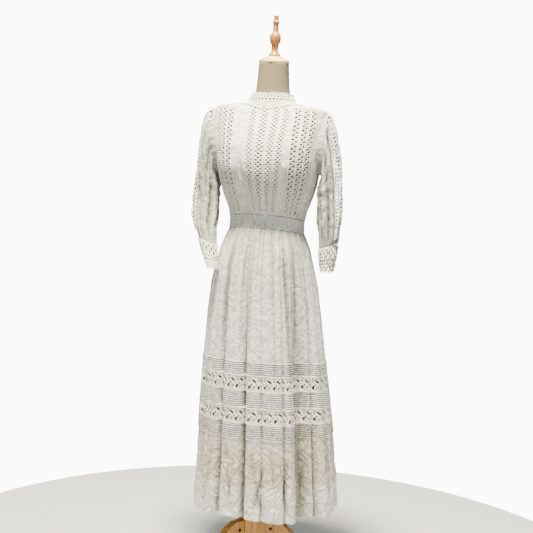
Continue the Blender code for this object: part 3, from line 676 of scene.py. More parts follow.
# Fine pinched gathers under the waist seam, uneven in pitch
def gatherDepth(angle):
    warped = angle + 0.030 * np.sin(3 * angle + 0.4) + 0.012 * np.sin(11 * angle + 2.0)
    fine = np.abs(np.sin(46 * warped)) ** 0.8
    coarse = 0.5 + 0.5 * np.sin(29 * warped + 1.3)
    return 0.65 * fine + 0.35 * coarse


# Crumpled cotton: shallow slanting dents, stronger towards the hem
def rumple(angle, level):
    u, v = angle * 0.22, level
    dents = softNoise((u + 0.6 * v) / 0.034, (v - 0.4 * u) / 0.060, 3)
    fine = softNoise((u - 0.5 * v) / 0.017, (v + 0.3 * u) / 0.030, 5)
    long = softNoise(u / 0.030, v / 0.200, 11)
    growth = 0.5 + 0.7 * smooth(0.52, 0.26, level)
    return growth * (0.0020 * dents + 0.0014 * fine) + 0.0020 * long * smooth(1.10, 0.95, level)


def skirtAt(turn, level, proud=0.0):
    angle, depth, hollow = foldsAt(turn)
    side, front, back = along(skirt["rings"], level)
    growth, gather, lift, across = along(skirt["drape"], level)
    inward = (depth + hollow) * growth + gather * gatherDepth(angle) - proud
    inward = inward + creaseDepth(skirt["creases"], angle, level, side)
    inward = inward + rumple(angle, level)
    inward = inward + 0.0012 * np.exp(-(((level - skirt["hemStitching"]) / 0.0022) ** 2))
    spots = onRing(side, front, back, angle, inward, level)
    sway = 0.005 * np.sin(3 * angle + 1.0) * smooth(skirt["hemStitching"], skirt["hem"], level)
    spots[..., 0] += across
    spots[..., 2] += lift * waistLift(angle) + sway
    return spots


# How deep in a fold, gather, crease or the broad front hollow the skirt's points lie, from 0 to 1, for the shade
# painted into the lawn
def skirtCrease(turn, level):
    angle, depth, hollow = foldsAt(turn)
    side, _, _ = along(skirt["rings"], level)
    growth, gather, _, _ = along(skirt["drape"], level)
    valley = np.clip(depth * growth / 0.024, 0, 1) ** 2
    pinched = np.clip(gather / 0.0045, 0, 1) * gatherDepth(angle) ** 2.5
    line = creaseDepth(skirt["creases"], angle, level, side) / 0.0050
    return 0.80 * valley + 0.60 * pinched + 0.60 * line + 0.85 * (hollow / skirt["hollowDepth"]) ** 2 * growth


# The heights of rows that draw tucks as small steps, from the lowest up, how proud each row is and how much
# painted shadow it gets in the groove under the next tuck
def tuckRows(low, count, every, proud):
    starts = (low + every * np.arange(count))[:, None]
    levels = starts + every * np.array([0.02, 0.30, 0.60, 0.98])
    steps = np.tile((1.0, 0.90, 0.30, 0.0), count) * proud
    return levels.reshape(-1), steps, np.tile((0.10, 0.0, 0.12, 0.80), count)


# Lengths along the folded cloth at a height, so that the flat cloth keeps its width
def roundSkirt(turn, level):
    spots = skirtAt(turn, np.full_like(turn, level))
    return np.concatenate([[0.0], np.cumsum(np.linalg.norm(np.diff(spots, axis=0), axis=1))])


def makeTier(name, node, columns, plainLow, tucks, plainHigh, tuckLow):
    turn = np.linspace(0.0, foldCount, columns + 1)
    turn = turn - skirt["crowding"] * np.sin(2 * pi * turn) / (2 * pi)
    tuckLevels, tuckProud, groove = tuckRows(tuckLow, tucks, skirt["tuckEvery"], skirt["tuckProud"])
    levels = np.concatenate([plainLow, tuckLevels, plainHigh])
    proud = np.concatenate([0 * plainLow, tuckProud, 0 * plainHigh])
    groove = np.concatenate([0 * plainLow, groove, 0 * plainHigh])
    spots = skirtAt(turn[None, :], levels[:, None], proud[:, None])
    # painted shade in the folds, gathers, creases and hollow, and painted shadow under each tuck
    crease = skirtCrease(turn[None, :], levels[:, None]) + groove[:, None]
    flat = np.stack(np.broadcast_arrays(roundSkirt(turn, 0.45)[None, :], levels[:, None]), axis=-1)
    obj = makeCloth(name, spots, flat, closed=True, crease=crease)
    addWall(obj, 0.0012)
    return finishPiece(obj, lawn, "lawn", node)


gap = 0.0006
top, low = skirt["laceTop"], skirt["laceLow"]
tuckHigh = 7 * skirt["tuckEvery"]
skirtUpper = makeTier(
    "skirtUpper",
    "skirt_upper",
    360,
    np.array([top[0] + 0.0003]),
    7,
    np.linspace(top[0] + 0.0025 + tuckHigh, skirt["waist"] - 0.0003, 54),
    top[0] + 0.0015,
)
skirtMiddle = makeTier(
    "skirtMiddle",
    "skirt_middle",
    400,
    np.array([top[1] + 0.0003]),
    8,
    np.array([low[0] - 0.0003]),
    top[1] + 0.0010,
)
skirtLower = makeTier(
    "skirtLower",
    "skirt_lower",
    400,
    np.concatenate([[skirt["hem"], skirt["hem"] + 0.002], np.linspace(skirt["hem"] + 0.008, 0.476, 44)]),
    7,
    np.array([low[1] - 0.0003]),
    0.482,
)
print("lace dress: skirt")


cordHigh = 0.0019  # how far the laces' cords stand up


# One repeat of a lace, flat: x runs across the band and y along it. Cells inside a hole are left out,
# and the points beside a hole are drawn onto its rim; cords stand up round the holes and along the edges.
def laceTile(name, design):
    across, alongCells = design["cells"]
    width, pitch = design["width"], design["pitch"]
    x, y = np.meshgrid(np.linspace(0, width, across + 1), np.linspace(0, pitch, alongCells + 1), indexing="ij")
    cell = min(width / across, pitch / alongCells)
    rim = np.full(x.shape, 1.0)
    holes = [(a, b + wrap * pitch, c, d, e) for a, b, c, d, e in design["holes"] for wrap in (-1, 0, 1)]
    for holeX, holeY, halfLong, halfWide, lean in holes:
        c, s = cos(radians(lean)), sin(radians(lean))
        a = ((x - holeX) * c + (y - holeY) * s) / halfLong
        b = ((y - holeY) * c - (x - holeX) * s) / halfWide
        r = np.hypot(a, b) + 1e-9
        snap = np.abs(r - 1) * halfWide < 0.62 * cell
        x = np.where(snap, holeX + (a * halfLong * c - b * halfWide * s) / r, x)
        y = np.where(snap, holeY + (a * halfLong * s + b * halfWide * c) / r, y)
        rim = np.minimum(rim, np.where(snap, 0.0, (r - 1) * halfWide))
    middleX = (x[:-1, :-1] + x[1:, :-1] + x[1:, 1:] + x[:-1, 1:]) / 4
    middleY = (y[:-1, :-1] + y[1:, :-1] + y[1:, 1:] + y[:-1, 1:]) / 4
    keep = np.ones(middleX.shape, dtype=bool)
    for holeX, holeY, halfLong, halfWide, lean in holes:
        c, s = cos(radians(lean)), sin(radians(lean))
        a = ((middleX - holeX) * c + (middleY - holeY) * s) / halfLong
        b = ((middleY - holeY) * c - (middleX - holeX) * s) / halfWide
        keep &= np.hypot(a, b) > 1.0
    height = cordHigh * np.exp(-(((rim - 0.0009) / 0.0009) ** 2))
    edge = np.minimum(x, width - x)
    height = np.maximum(height, cordHigh * np.exp(-(((edge - 0.0008) / 0.0012) ** 2)))
    for (x1, y1), (x2, y2) in design.get("cords", []):
        share = np.clip(((x - x1) * (x2 - x1) + (y - y1) * (y2 - y1)) / ((x2 - x1) ** 2 + (y2 - y1) ** 2), 0, 1)
        far = np.hypot(x - x1 - share * (x2 - x1), y - y1 - share * (y2 - y1))
        height = np.maximum(height, cordHigh * np.exp(-((far / 0.0010) ** 2)))
    wave = np.abs(np.sin(pi * design["scallops"] * y / pitch))
    if design.get("pointed"):
        wave = 1 - wave
    first, last = design["scallopFirst"], design["scallopLast"]
    x = x - first * wave * (1 - x / width) ** 2 + last * wave * (x / width) ** 2
    verts = np.stack([x, y / pitch, height], axis=-1).reshape(-1, 3)
    wide = alongCells + 1
    i, j = np.nonzero(keep)
    faces = np.stack([i * wide + j, (i + 1) * wide + j, (i + 1) * wide + j + 1, i * wide + j + 1], axis=-1)
    used, faces = np.unique(faces, return_inverse=True)
    mesh = bpy.data.meshes.new(name)
    mesh.from_pydata(verts[used].tolist(), [], faces.reshape(-1, 4).tolist())
    return newObject(name, mesh)


# Geometry Nodes: repeats a tile along flat strips and lays it on the cloth by the cloth's own UV map
def laceTree():
    tree = bpy.data.node_groups.new("laceOnCloth", "GeometryNodeTree")
    sockets = {}
    for name, kind in (
        ("Cloth", "NodeSocketGeometry"),
        ("Tile", "NodeSocketObject"),
        ("Repeats", "NodeSocketInt"),
        ("Strips", "NodeSocketInt"),
        ("Strip Step", "NodeSocketFloat"),
        ("Pitch", "NodeSocketFloat"),
        ("Finish", "NodeSocketMaterial"),
    ):
        sockets[name] = tree.interface.new_socket(name, in_out="INPUT", socket_type=kind).identifier
    tree.interface.new_socket("Lace", in_out="OUTPUT", socket_type="NodeSocketGeometry")
    given = addNode(tree, "NodeGroupInput")
    tile = addNode(tree, "GeometryNodeObjectInfo", {}, {"Object": given.outputs["Tile"]})
    step = addNode(tree, "ShaderNodeCombineXYZ", {}, {"X": given.outputs["Strip Step"]})
    repeatLine = addNode(
        tree, "GeometryNodeMeshLine", {"Offset": (0.0, 1.0, 0.0)}, {"Count": given.outputs["Repeats"]}
    )
    stripLine = addNode(
        tree, "GeometryNodeMeshLine", {}, {"Count": given.outputs["Strips"], "Offset": step.outputs[0]}
    )
    strip = addNode(
        tree,
        "GeometryNodeInstanceOnPoints",
        {},
        {"Points": repeatLine.outputs[0], "Instance": tile.outputs["Geometry"]},
    )
    strips = addNode(
        tree, "GeometryNodeInstanceOnPoints", {}, {"Points": stripLine.outputs[0], "Instance": strip.outputs[0]}
    )
    flat = addNode(tree, "GeometryNodeRealizeInstances", {}, {0: strips.outputs[0]})
    joined = addNode(tree, "GeometryNodeMergeByDistance", {"Distance": 0.00002}, {0: flat.outputs[0]})
    place = addNode(tree, "GeometryNodeInputPosition")
    parts = addNode(tree, "ShaderNodeSeparateXYZ", {}, {0: place.outputs[0]})
    metres = addNode(
        tree, "ShaderNodeMath", {"operation": "MULTIPLY"}, {0: parts.outputs["Y"], 1: given.outputs["Pitch"]}
    )
    flatUv = addNode(tree, "ShaderNodeCombineXYZ", {}, {"X": parts.outputs["X"], "Y": metres.outputs[0]})
    kept = addNode(
        tree,
        "GeometryNodeStoreNamedAttribute",
        {"data_type": "FLOAT2", "domain": "CORNER", "Name": "UVMap"},
        {"Geometry": joined.outputs[0], "Value": flatUv.outputs[0]},
    )
    height = addNode(tree, "ShaderNodeMath", {"operation": "DIVIDE", 1: cordHigh}, {0: parts.outputs["Z"]})
    kept = addNode(
        tree,
        "GeometryNodeStoreNamedAttribute",
        {"data_type": "FLOAT", "domain": "POINT", "Name": "relief"},
        {"Geometry": kept.outputs[0], "Value": height.outputs[0]},
    )
    clothUv = addNode(tree, "GeometryNodeInputNamedAttribute", {"data_type": "FLOAT_VECTOR", "Name": "UVMap"})
    outward = addNode(tree, "GeometryNodeInputNamedAttribute", {"data_type": "FLOAT_VECTOR", "Name": "outward"})
    found = []
    for value in (place.outputs[0], outward.outputs[0]):
        sample = addNode(tree, "GeometryNodeSampleUVSurface", {"data_type": "FLOAT_VECTOR"})
        tree.links.new(given.outputs["Cloth"], sample.inputs[0])
        tree.links.new(value, sample.inputs[1])
        tree.links.new(clothUv.outputs[0], sample.inputs[2])
        tree.links.new(place.outputs[0], sample.inputs[3])
        found.append(sample)
    raised = addNode(
        tree, "ShaderNodeVectorMath", {"operation": "SCALE"}, {0: found[1].outputs[0], "Scale": parts.outputs["Z"]}
    )
    spot = addNode(
        tree, "ShaderNodeVectorMath", {"operation": "ADD"}, {0: found[0].outputs[0], 1: raised.outputs[0]}
    )
    laid = addNode(
        tree, "GeometryNodeSetPosition", {}, {"Geometry": kept.outputs[0], "Position": spot.outputs[0]}
    )
    soft = addNode(tree, "GeometryNodeSetShadeSmooth", {}, {0: laid.outputs[0]})
    real = addNode(tree, "GeometryNodeRealizeInstances", {}, {0: soft.outputs[0]})
    done = addNode(
        tree, "GeometryNodeSetMaterial", {}, {"Geometry": real.outputs[0], "Material": given.outputs["Finish"]}
    )
    addNode(tree, "NodeGroupOutput", {}, {0: done.outputs[0]})
    return tree, sockets


laceNodes, laceSockets = laceTree()


# Lays a lace on carriers: each is a grid of points whose rows run along the strip and columns across it
def layLace(name, design, carriers, repeats, margin):
    tile = laceTile(name + "Tile", design)
    step = 2 * design["width"] + 0.02
    verts, faces, uvs, outs = [], [], [], []
    count = 0
    for number, (spots, normals) in enumerate(carriers):
        rows, columns = spots.shape[0] - 1, spots.shape[1] - 1
        v = np.linspace(-margin[1], repeats + margin[1], rows + 1)
        u = np.linspace(-margin[0], design["width"] + margin[0], columns + 1) + number * step
        flat = np.stack(np.broadcast_arrays(u[None, :], v[:, None]), axis=-1)
        j, i = np.meshgrid(np.arange(rows), np.arange(columns), indexing="ij")
        wide = columns + 1
        quad = np.stack([j * wide + i, j * wide + i + 1, (j + 1) * wide + i + 1, (j + 1) * wide + i], axis=-1)
        faces.append(quad.reshape(-1, 4) + count)
        uvs.append(np.stack([flat[:-1, :-1], flat[:-1, 1:], flat[1:, 1:], flat[1:, :-1]], axis=2).reshape(-1))
        verts.append(spots.reshape(-1, 3) + figureAt)
        outs.append(normals.reshape(-1))
        count += wide * (rows + 1)
    mesh = bpy.data.meshes.new(name + "Carrier")
    mesh.from_pydata(np.concatenate(verts).tolist(), [], np.concatenate(faces).tolist())
    mesh.uv_layers.new(name="UVMap").data.foreach_set("uv", np.concatenate(uvs).astype(np.float32))
    outward = mesh.attributes.new("outward", "FLOAT_VECTOR", "POINT")
    outward.data.foreach_set("vector", np.concatenate(outs).astype(np.float32))
    carrier = newObject(name + "Carrier", mesh)
    nodes = carrier.modifiers.new("laceOnCloth", "NODES")
    nodes.node_group = laceNodes
    for socket, value in (
        ("Tile", tile),
        ("Repeats", repeats),
        ("Strips", len(carriers)),
        ("Strip Step", step),
        ("Pitch", design["pitch"]),
        ("Finish", lace),
    ):
        nodes[laceSockets[socket]] = value
    bpy.context.view_layer.update()
    made = bpy.data.meshes.new_from_object(carrier.evaluated_get(bpy.context.evaluated_depsgraph_get()))
    made.name = name
    obj = newObject(name, made)
    for spare in (carrier, tile):
        bpy.data.objects.remove(spare)
    addWall(obj, 0.0007)
    return obj


# The skirt's two bands of corded insertion: two rows of leaf-shaped gaps that lean towards each other
skirtLace = dict(
    width=0.0500,
    pitch=0.0245,
    cells=(24, 11),
    holes=[
        (0.0160, 0.0070, 0.0072, 0.0037, 46),
        (0.0340, 0.0192, 0.0068, 0.0032, -27),
        (0.0150, 0.0190, 0.0034, 0.0019, 46),
        (0.0345, 0.0080, 0.0042, 0.0019, -27),
        (0.0250, 0.0010, 0.0027, 0.0018, 20),
        (0.0250, 0.0135, 0.0027, 0.0018, -20),
    ],
    cords=[
        ((0.0042, 0.0), (0.0042, 0.0245)),
        ((0.0458, 0.0), (0.0458, 0.0245)),
        ((0.0070, 0.0123), (0.0250, 0.0062)),
        ((0.0250, 0.0062), (0.0430, 0.0123)),
        ((0.0250, 0.0184), (0.0430, 0.0123)),
        ((0.0070, 0.0123), (0.0250, 0.0184)),
    ],
    scallops=3,
    scallopFirst=0.0014,
    scallopLast=0.0014,
    overlap=0.0025,
    repeats=62,
)


def makeSkirtLace(name, top, low, nodes):
    repeats = skirtLace["repeats"]
    margin = (0.0022, 0.5)
    beyond = skirtLace["overlap"] + margin[0]
    fine = np.linspace(0.0, foldCount, 4001)
    lengths = roundSkirt(fine, (top + low) / 2)
    v = np.linspace(-margin[1], repeats + margin[1], 1201) / repeats
    whole = np.floor(v)
    turn = np.interp((v - whole) * lengths[-1], lengths, fine) + whole * foldCount
    levels = np.linspace(top + beyond, low - beyond, 15)
    spots = skirtAt(turn[:, None], levels[None, :], 0.0008)
    normals = -gridNormals(spots, False)
    outward = np.stack([spots[..., 0], spots[..., 1], 0 * spots[..., 0]], axis=-1)
    normals = normals * np.sign((normals * outward).sum(-1, keepdims=True))
    obj = layLace(name, skirtLace, [(spots, normals)], repeats, margin)
    print(name, "runs", round(float(lengths[-1]), 3), "m round the folds")
    return finishPiece(obj, lace, "lace", *nodes)


skirtLaceUpper = makeSkirtLace(
    "skirtLaceUpper", top[0], low[0], ("skirt_lace_upper_front", "skirt_lace_upper_back")
)
skirtLaceLower = makeSkirtLace(
    "skirtLaceLower", top[1], low[1], ("skirt_lace_lower_front", "skirt_lace_lower_back")
)
print("lace dress: skirt lace")


# The waistband, nearly straight, with its fine tucks running round it
waistband = dict(
    rings=[(1.100, 0.1225, 0.0980, 0.0920), (1.145, 0.1200, 0.0945, 0.0885), (1.190, 0.1215, 0.0980, 0.0900)],
    low=1.117,
    high=1.159,
    tucks=6,
    proud=0.0017,
)


def makeWaistband():
    angle = np.linspace(0, 2 * pi, 201)
    every = (waistband["high"] - waistband["low"] - 0.001) / waistband["tucks"]
    levels, proud, groove = tuckRows(waistband["low"] + 0.0004, waistband["tucks"], every, waistband["proud"])
    side, front, back = along(waistband["rings"], levels[:, None])
    pucker = 0.0004 * softNoise(angle[None, :] * 20, levels[:, None] * 90, 21)
    spots = onRing(side, front, back, angle[None, :], 0.0010 - proud[:, None] + pucker, levels[:, None])
    spots[..., 2] += waistLift(angle)[None, :]
    flat = np.stack(np.broadcast_arrays(angle[None, :] * 0.11, levels[:, None]), axis=-1)
    # painted shadow under the edge of each tuck
    crease = np.broadcast_to(0.55 * groove[:, None], spots.shape[:2])
    obj = makeCloth("waistBand", spots, flat, closed=True, crease=crease)
    addWall(obj, 0.0012)
    return finishPiece(obj, bandLawn, "lawn", "waistband")


waistBand = makeWaistband()


# The bodice: bloused over the waistband, with columns of insertion lace between tucked panels
bodice = dict(
    rings=[
        (1.140, 0.1195, 0.0930, 0.0870),
        (1.180, 0.1260, 0.1060, 0.0940),
        (1.215, 0.1380, 0.1240, 0.1020),
        (1.265, 0.1530, 0.1440, 0.1110),
        (1.330, 0.1640, 0.1560, 0.1170),
        (1.375, 0.1680, 0.1500, 0.1190),
        (1.420, 0.1720, 0.1300, 0.1170),
        (1.465, 0.1770, 0.1040, 0.1070),
        (1.495, 0.1770, 0.0850, 0.0920),
        (1.508, 0.1420, 0.0760, 0.0820),
        (1.517, 0.1050, 0.0710, 0.0750),
        (1.524, 0.0760, 0.0690, 0.0690),
    ],
    waist=1.159,
    neck=1.524,
    armMiddle=1.399,
    armHalf=0.096,
    armReach=24,
    gather=0.0056,
    gatherEnd=1.320,
    # each lace column: its angle at the waist, at the bust and at the shoulders
    middleColumns=[(-99, -100, -101), (-91, -91, -91), (-83, -82, -81), (-75, -73, -71)],
    sideColumns=[
        (-152, -158, -164),
        (-143, -147, -149),
        (-134, -137, -138),
        (-125, -127, -127),
        (-54, -56, -58),
        (-45, -46, -47),
        (-36, -36, -36),
    ],
    backColumns=[(132, 136, 140), (121, 124, 127), (59, 56, 53), (48, 44, 40)],
    columnLow=1.174,
    columnHigh=1.505,
    columnHighMiddle=1.514,  # the columns beside the middle run up to the collar
    cutShare=0.36,  # half the cut behind a column, as a share of its lace's width
    taper=0.70,  # the columns are gathered to this share of their width at the waist
    tuckAngles=[(-117, -106), (-69, -61)],
    creases=[
        (-111, 1.36, 1.17, 0.005, 0.0040, 4),
        (-104, 1.40, 1.17, 0.004, 0.0032, 0),
        (-101, 1.33, 1.17, 0.004, 0.0030, 2),
        (-70, 1.34, 1.17, 0.006, 0.0036, -3),
        (-62, 1.38, 1.17, 0.005, 0.0034, 4),
        (-28, 1.34, 1.17, 0.007, 0.0040, -4),
        (-16, 1.30, 1.17, 0.006, 0.0036, 3),
        (-160, 1.33, 1.17, 0.007, 0.0036, 4),
        (-171, 1.29, 1.17, 0.006, 0.0034, -2),
        (72, 1.38, 1.17, 0.006, 0.0036, 3),
        (84, 1.42, 1.17, 0.005, 0.0032, -2),
        (101, 1.40, 1.17, 0.006, 0.0036, 2),
        (112, 1.36, 1.17, 0.005, 0.0032, -3),
        (28, 1.33, 1.17, 0.007, 0.0038, 3),
        (152, 1.34, 1.17, 0.007, 0.0038, -3),
        (166, 1.30, 1.17, 0.005, 0.0034, 2),
    ],
)


def armhole(level):
    share = np.clip((level - bodice["armMiddle"]) / bodice["armHalf"], -1, 1)
    return radians(bodice["armReach"]) * np.sqrt(1 - share**2)


# The shoulders' tops stand a little higher, the figure's right one more so
shoulder = dict(right=0.012, left=0.004, near=0.080, far=0.170, low=1.380, high=1.490, formShare=0.90)


def withShoulders(spots, share=1.0):
    x, z = spots[..., 0], spots[..., 2]
    rise = np.where(x > 0, shoulder["left"], shoulder["right"]) * share
    across = smooth(shoulder["near"], shoulder["far"], np.abs(x))
    spots[..., 2] = z + rise * across * smooth(shoulder["low"], shoulder["high"], z)
    return spots


# How far gathers, creases and tucks press the bodice's cloth in
def bodiceInward(angle, level):
    side = along(bodice["rings"], level)[0]
    fade = np.clip((bodice["gatherEnd"] - level) / (bodice["gatherEnd"] - bodice["waist"]), 0, 1)
    warped = angle + 0.02 * np.sin(4 * angle + 1.0) + 0.010 * np.sin(13 * angle)
    pinch = 0.6 * np.abs(np.sin(38 * warped)) ** 0.8 + 0.4 * (0.5 + 0.5 * np.sin(23 * warped + 0.7))
    inward = bodice["gather"] * fade**1.2 * pinch
    inward = inward + creaseDepth(bodice["creases"], angle, level, side) * smooth(1.50, 1.44, level)
    loose = smooth(1.515, 1.46, level)
    inward = inward + loose * 0.0013 * softNoise(angle * 5.5, level / 0.055, 31)
    inward = inward + loose * 0.0010 * softNoise(angle * 13, level / 0.022, 37)
    for first, last in bodice["tuckAngles"]:
        degrees = np.degrees(angle)
        inside = (degrees > first) & (degrees < last)
        step = (degrees - first) / 1.6 % 1.0
        inward = inward - inside * smooth(1.30, 1.40, level) * 0.0012 * (1 - step)
    return inward


def bodiceAt(angle, level, proud=0.0):
    side, front, back = along(bodice["rings"], level)
    spots = onRing(side, front, back, angle, bodiceInward(angle, level) - proud, level)
    under = bodice["armMiddle"] - bodice["armHalf"]
    lift = np.clip((under - level) / (under - bodice["waist"]), 0, 1)
    spots[..., 2] += lift * waistLift(angle)
    return withShoulders(spots)


def columnAngle(column, level):
    return np.radians(np.interp(level, (1.17, 1.33, 1.48), column))


def columnTop(column):
    return bodice["columnHighMiddle" if -110 < column[2] < -65 else "columnHigh"]


def columnTaper(level):
    return bodice["taper"] + (1 - bodice["taper"]) * smooth(1.17, 1.32, level)


# Cloth is cut away behind the open middle of each lace column
def behindLace(angle, level, insertions):
    gone = np.zeros(angle.shape, dtype=bool)
    for design, columns in insertions:
        half = bodice["cutShare"] * design["width"] * columnTaper(level)
        for column in columns:
            away = np.abs(angle - columnAngle(column, level)) * 0.15
            gone |= (away < half) & (level > bodice["columnLow"]) & (level < columnTop(column))
    return gone


# Beside the middle the columns' lace has three rows of small gaps, towards the sides and on the back two
# rows of bigger ones
columnLace = dict(
    width=0.0185,
    pitch=0.0120,
    cells=(12, 8),
    holes=[
        (0.0042, 0.0030, 0.0032, 0.0022, 32),
        (0.0092, 0.0090, 0.0032, 0.0022, -32),
        (0.0143, 0.0030, 0.0032, 0.0022, 32),
    ],
    scallops=2,
    scallopFirst=0.0014,
    scallopLast=0.0014,
    repeats=27,
)
sideLace = dict(
    width=0.0225,
    pitch=0.0145,
    cells=(13, 8),
    holes=[(0.0066, 0.0037, 0.0050, 0.0029, 22), (0.0160, 0.0109, 0.0050, 0.0029, -22)],
    scallops=2,
    scallopFirst=0.0018,
    scallopLast=0.0018,
    repeats=23,
)


def bodiceLevels(fine):
    low = np.linspace(bodice["waist"] + 0.0003, 1.303, int(34 * fine), endpoint=False)
    middle = np.linspace(1.303, 1.495, int(44 * fine), endpoint=False)
    return np.concatenate([low, middle, np.linspace(1.495, bodice["neck"] - 0.0003, int(11 * fine))])


def makeBodicePiece(name, first, last, columns, fine, insertions, shift, node):
    levels = bodiceLevels(fine)[:, None]
    share = np.linspace(0, 1, columns + 1)[None, :]
    start, end = first(levels), last(levels)
    angle = start + (end - start) * share
    level = np.broadcast_to(levels, angle.shape)
    spots = bodiceAt(angle, level) + np.array(shift)
    flat = np.stack([angle * 0.16, level], axis=-1)
    middleAngle = (angle[:-1, :-1] + angle[1:, 1:]) / 2
    middleLevel = (level[:-1, :-1] + level[1:, 1:]) / 2
    # faint painted shade where gathers, creases and tucks press the bodice in
    crease = 0.18 * np.clip(bodiceInward(angle, level) / 0.0070, 0, 1) ** 2
    obj = makeCloth(name, spots, flat, keep=~behindLace(middleAngle, middleLevel, insertions), crease=crease)
    addWall(obj, 0.0012)
    return finishPiece(obj, lawn, "lawn", node)


bodiceFront = makeBodicePiece(
    "bodiceFront",
    lambda z: -pi + armhole(z),
    lambda z: -armhole(z),
    320,
    1.0,
    [(columnLace, bodice["middleColumns"]), (sideLace, bodice["sideColumns"])],
    (0, -gap / 2, 0),
    "bodice_front",
)
bodiceBackLeft = makeBodicePiece(
    "bodiceBackLeft",
    lambda z: armhole(z),
    lambda z: 0 * z + pi / 2,
    116,
    0.8,
    [(sideLace, bodice["backColumns"])],
    (gap / 2, gap / 2, 0),
    "bodice_back_left",
)
bodiceBackRight = makeBodicePiece(
    "bodiceBackRight",
    lambda z: 0 * z + pi / 2,
    lambda z: pi - armhole(z),
    116,
    0.8,
    [(sideLace, bodice["backColumns"])],
    (-gap / 2, gap / 2, 0),
    "bodice_back_right",
)
print("lace dress: bodice and waistband")

# A strip on the bodice: heights so spaced that the lace's repeats come out even along it
def bodiceStrip(angleAt, low, high, v, across):
    fine = np.linspace(low - 0.006, high + 0.004, 300)
    spots = bodiceAt(angleAt(fine), fine)
    lengths = np.concatenate([[0.0], np.cumsum(np.linalg.norm(np.diff(spots, axis=0), axis=1))])
    first, last = np.interp((low, high), fine, lengths)
    level = np.interp(first + v * (last - first), lengths, fine)
    angle = angleAt(level)[:, None] + across[None, :] * columnTaper(level)[:, None]
    spots = bodiceAt(angle, np.broadcast_to(level[:, None], angle.shape), 0.0011)
    return spots, gridNormals(spots, False)


def makeColumns(name, design, columns):
    margin = (0.0022, 0.3)
    width, repeats = design["width"], design["repeats"]
    v = np.linspace(-margin[1], repeats + margin[1], 181) / repeats
    across = (np.linspace(-margin[0], width + margin[0], 13) - width / 2) / 0.15
    carriers = []
    for column in columns:
        angles = lambda level: columnAngle(column, level)
        carriers.append(bodiceStrip(angles, bodice["columnLow"], columnTop(column), v, across))
    obj = layLace(name, design, carriers, repeats, margin)
    return finishPiece(obj, lace, "lace")


bodiceColumns = makeColumns("bodiceColumnLaceFront", columnLace, bodice["middleColumns"])
sideColumns = makeColumns("bodiceColumnLaceSides", sideLace, bodice["sideColumns"])
backColumns = makeColumns("bodiceColumnLaceBack", sideLace, bodice["backColumns"])

# A broader edging lies along the top of each shoulder, from the neck to the armhole
shoulderLace = dict(
    width=0.0260,
    pitch=0.0120,
    cells=(16, 8),
    holes=[
        (0.0050, 0.0030, 0.0034, 0.0024, 35),
        (0.0130, 0.0090, 0.0034, 0.0024, -35),
        (0.0210, 0.0030, 0.0034, 0.0024, 35),
    ],
    cords=[((0.0090, 0.0), (0.0090, 0.0120)), ((0.0170, 0.0), (0.0170, 0.0120))],
    scallops=1,
    scallopFirst=0.0032,
    scallopLast=0.0032,
    low=1.497,
    high=1.519,
    angles=(-pi, 0.0),
    spread=0.124 / 0.012,  # radians round the shoulder's narrow top for a metre across the strip
    repeats=8,
)


def makeShoulderLace():
    margin = (0.0036, 0.3)
    width, repeats = shoulderLace["width"], shoulderLace["repeats"]
    v = np.linspace(-margin[1], repeats + margin[1], 61) / repeats
    across = (np.linspace(-margin[0], width + margin[0], 17) - width / 2) * shoulderLace["spread"]
    carriers = []
    for middle in shoulderLace["angles"]:
        angles = lambda level: middle + 0 * level
        carriers.append(bodiceStrip(angles, shoulderLace["low"], shoulderLace["high"], v, across))
    obj = layLace("shoulderLaceEdging", shoulderLace, carriers, repeats, margin)
    return finishPiece(obj, lace, "lace")


shoulderEdging = makeShoulderLace()

# A yoke band with a scalloped lower edge lies round the neck, over the tops of the columns
yokeLace = dict(
    width=0.0210,
    pitch=0.0150,
    cells=(13, 9),
    holes=[
        (0.0055, 0.0038, 0.0038, 0.0027, 30),
        (0.0145, 0.0112, 0.0038, 0.0027, -30),
    ],
    scallops=1,
    scallopFirst=0.0,
    scallopLast=0.0032,
    proud=0.0030,
    lowest=1.455,
    repeats=42,
)


def makeYokeLace():
    margin = (0.0036, 0.5)
    width, repeats = yokeLace["width"], yokeLace["repeats"]
    v = np.linspace(-margin[1], repeats + margin[1], 241) / repeats
    angle = v * 2 * pi - pi / 2
    levels = np.linspace(bodice["neck"], yokeLace["lowest"], 80)
    profile = bodiceAt(angle[:, None], levels[None, :], yokeLace["proud"])
    steps = np.linalg.norm(np.diff(profile, axis=1), axis=-1)
    lengths = np.concatenate([0 * steps[:, :1], np.cumsum(steps, axis=1)], axis=1)
    across = np.linspace(0.0, width + 2 * margin[0], 15)
    level = np.stack([np.interp(across, row, levels) for row in lengths])
    spots = bodiceAt(angle[:, None], level, yokeLace["proud"])
    normals = gridNormals(spots, False)
    outward = spots - np.array([0.0, 0.0, 1.40])
    normals = normals * np.sign((normals * outward).sum(-1, keepdims=True))
    obj = layLace("bodiceYokeLace", yokeLace, [(spots, normals)], repeats, margin)
    return finishPiece(obj, lace, "lace")


yokeBand = makeYokeLace()
print("lace dress: bodice lace")


# The stand collar of lace, with a scalloped upper edge
collar = dict(
    rings=[
        (1.505, 0.0815, 0.0720, 0.0720),
        (1.525, 0.0760, 0.0690, 0.0690),
        (1.552, 0.0645, 0.0625, 0.0610),
        (1.575, 0.0620, 0.0600, 0.0590),
    ],
    low=1.5245,
    high=1.5500,
    width=0.0280,
    pitch=0.0185,
    cells=(16, 10),
    holes=[
        (0.0205, 0.0046, 0.0034, 0.0028, 25),
        (0.0205, 0.0139, 0.0034, 0.0028, -25),
        (0.0115, 0.0092, 0.0036, 0.0030, 0),
        (0.0110, 0.0000, 0.0030, 0.0024, 30),
    ],
    scallops=2,
    scallopFirst=0.0022,
    scallopLast=0.0,
    repeats=22,
)


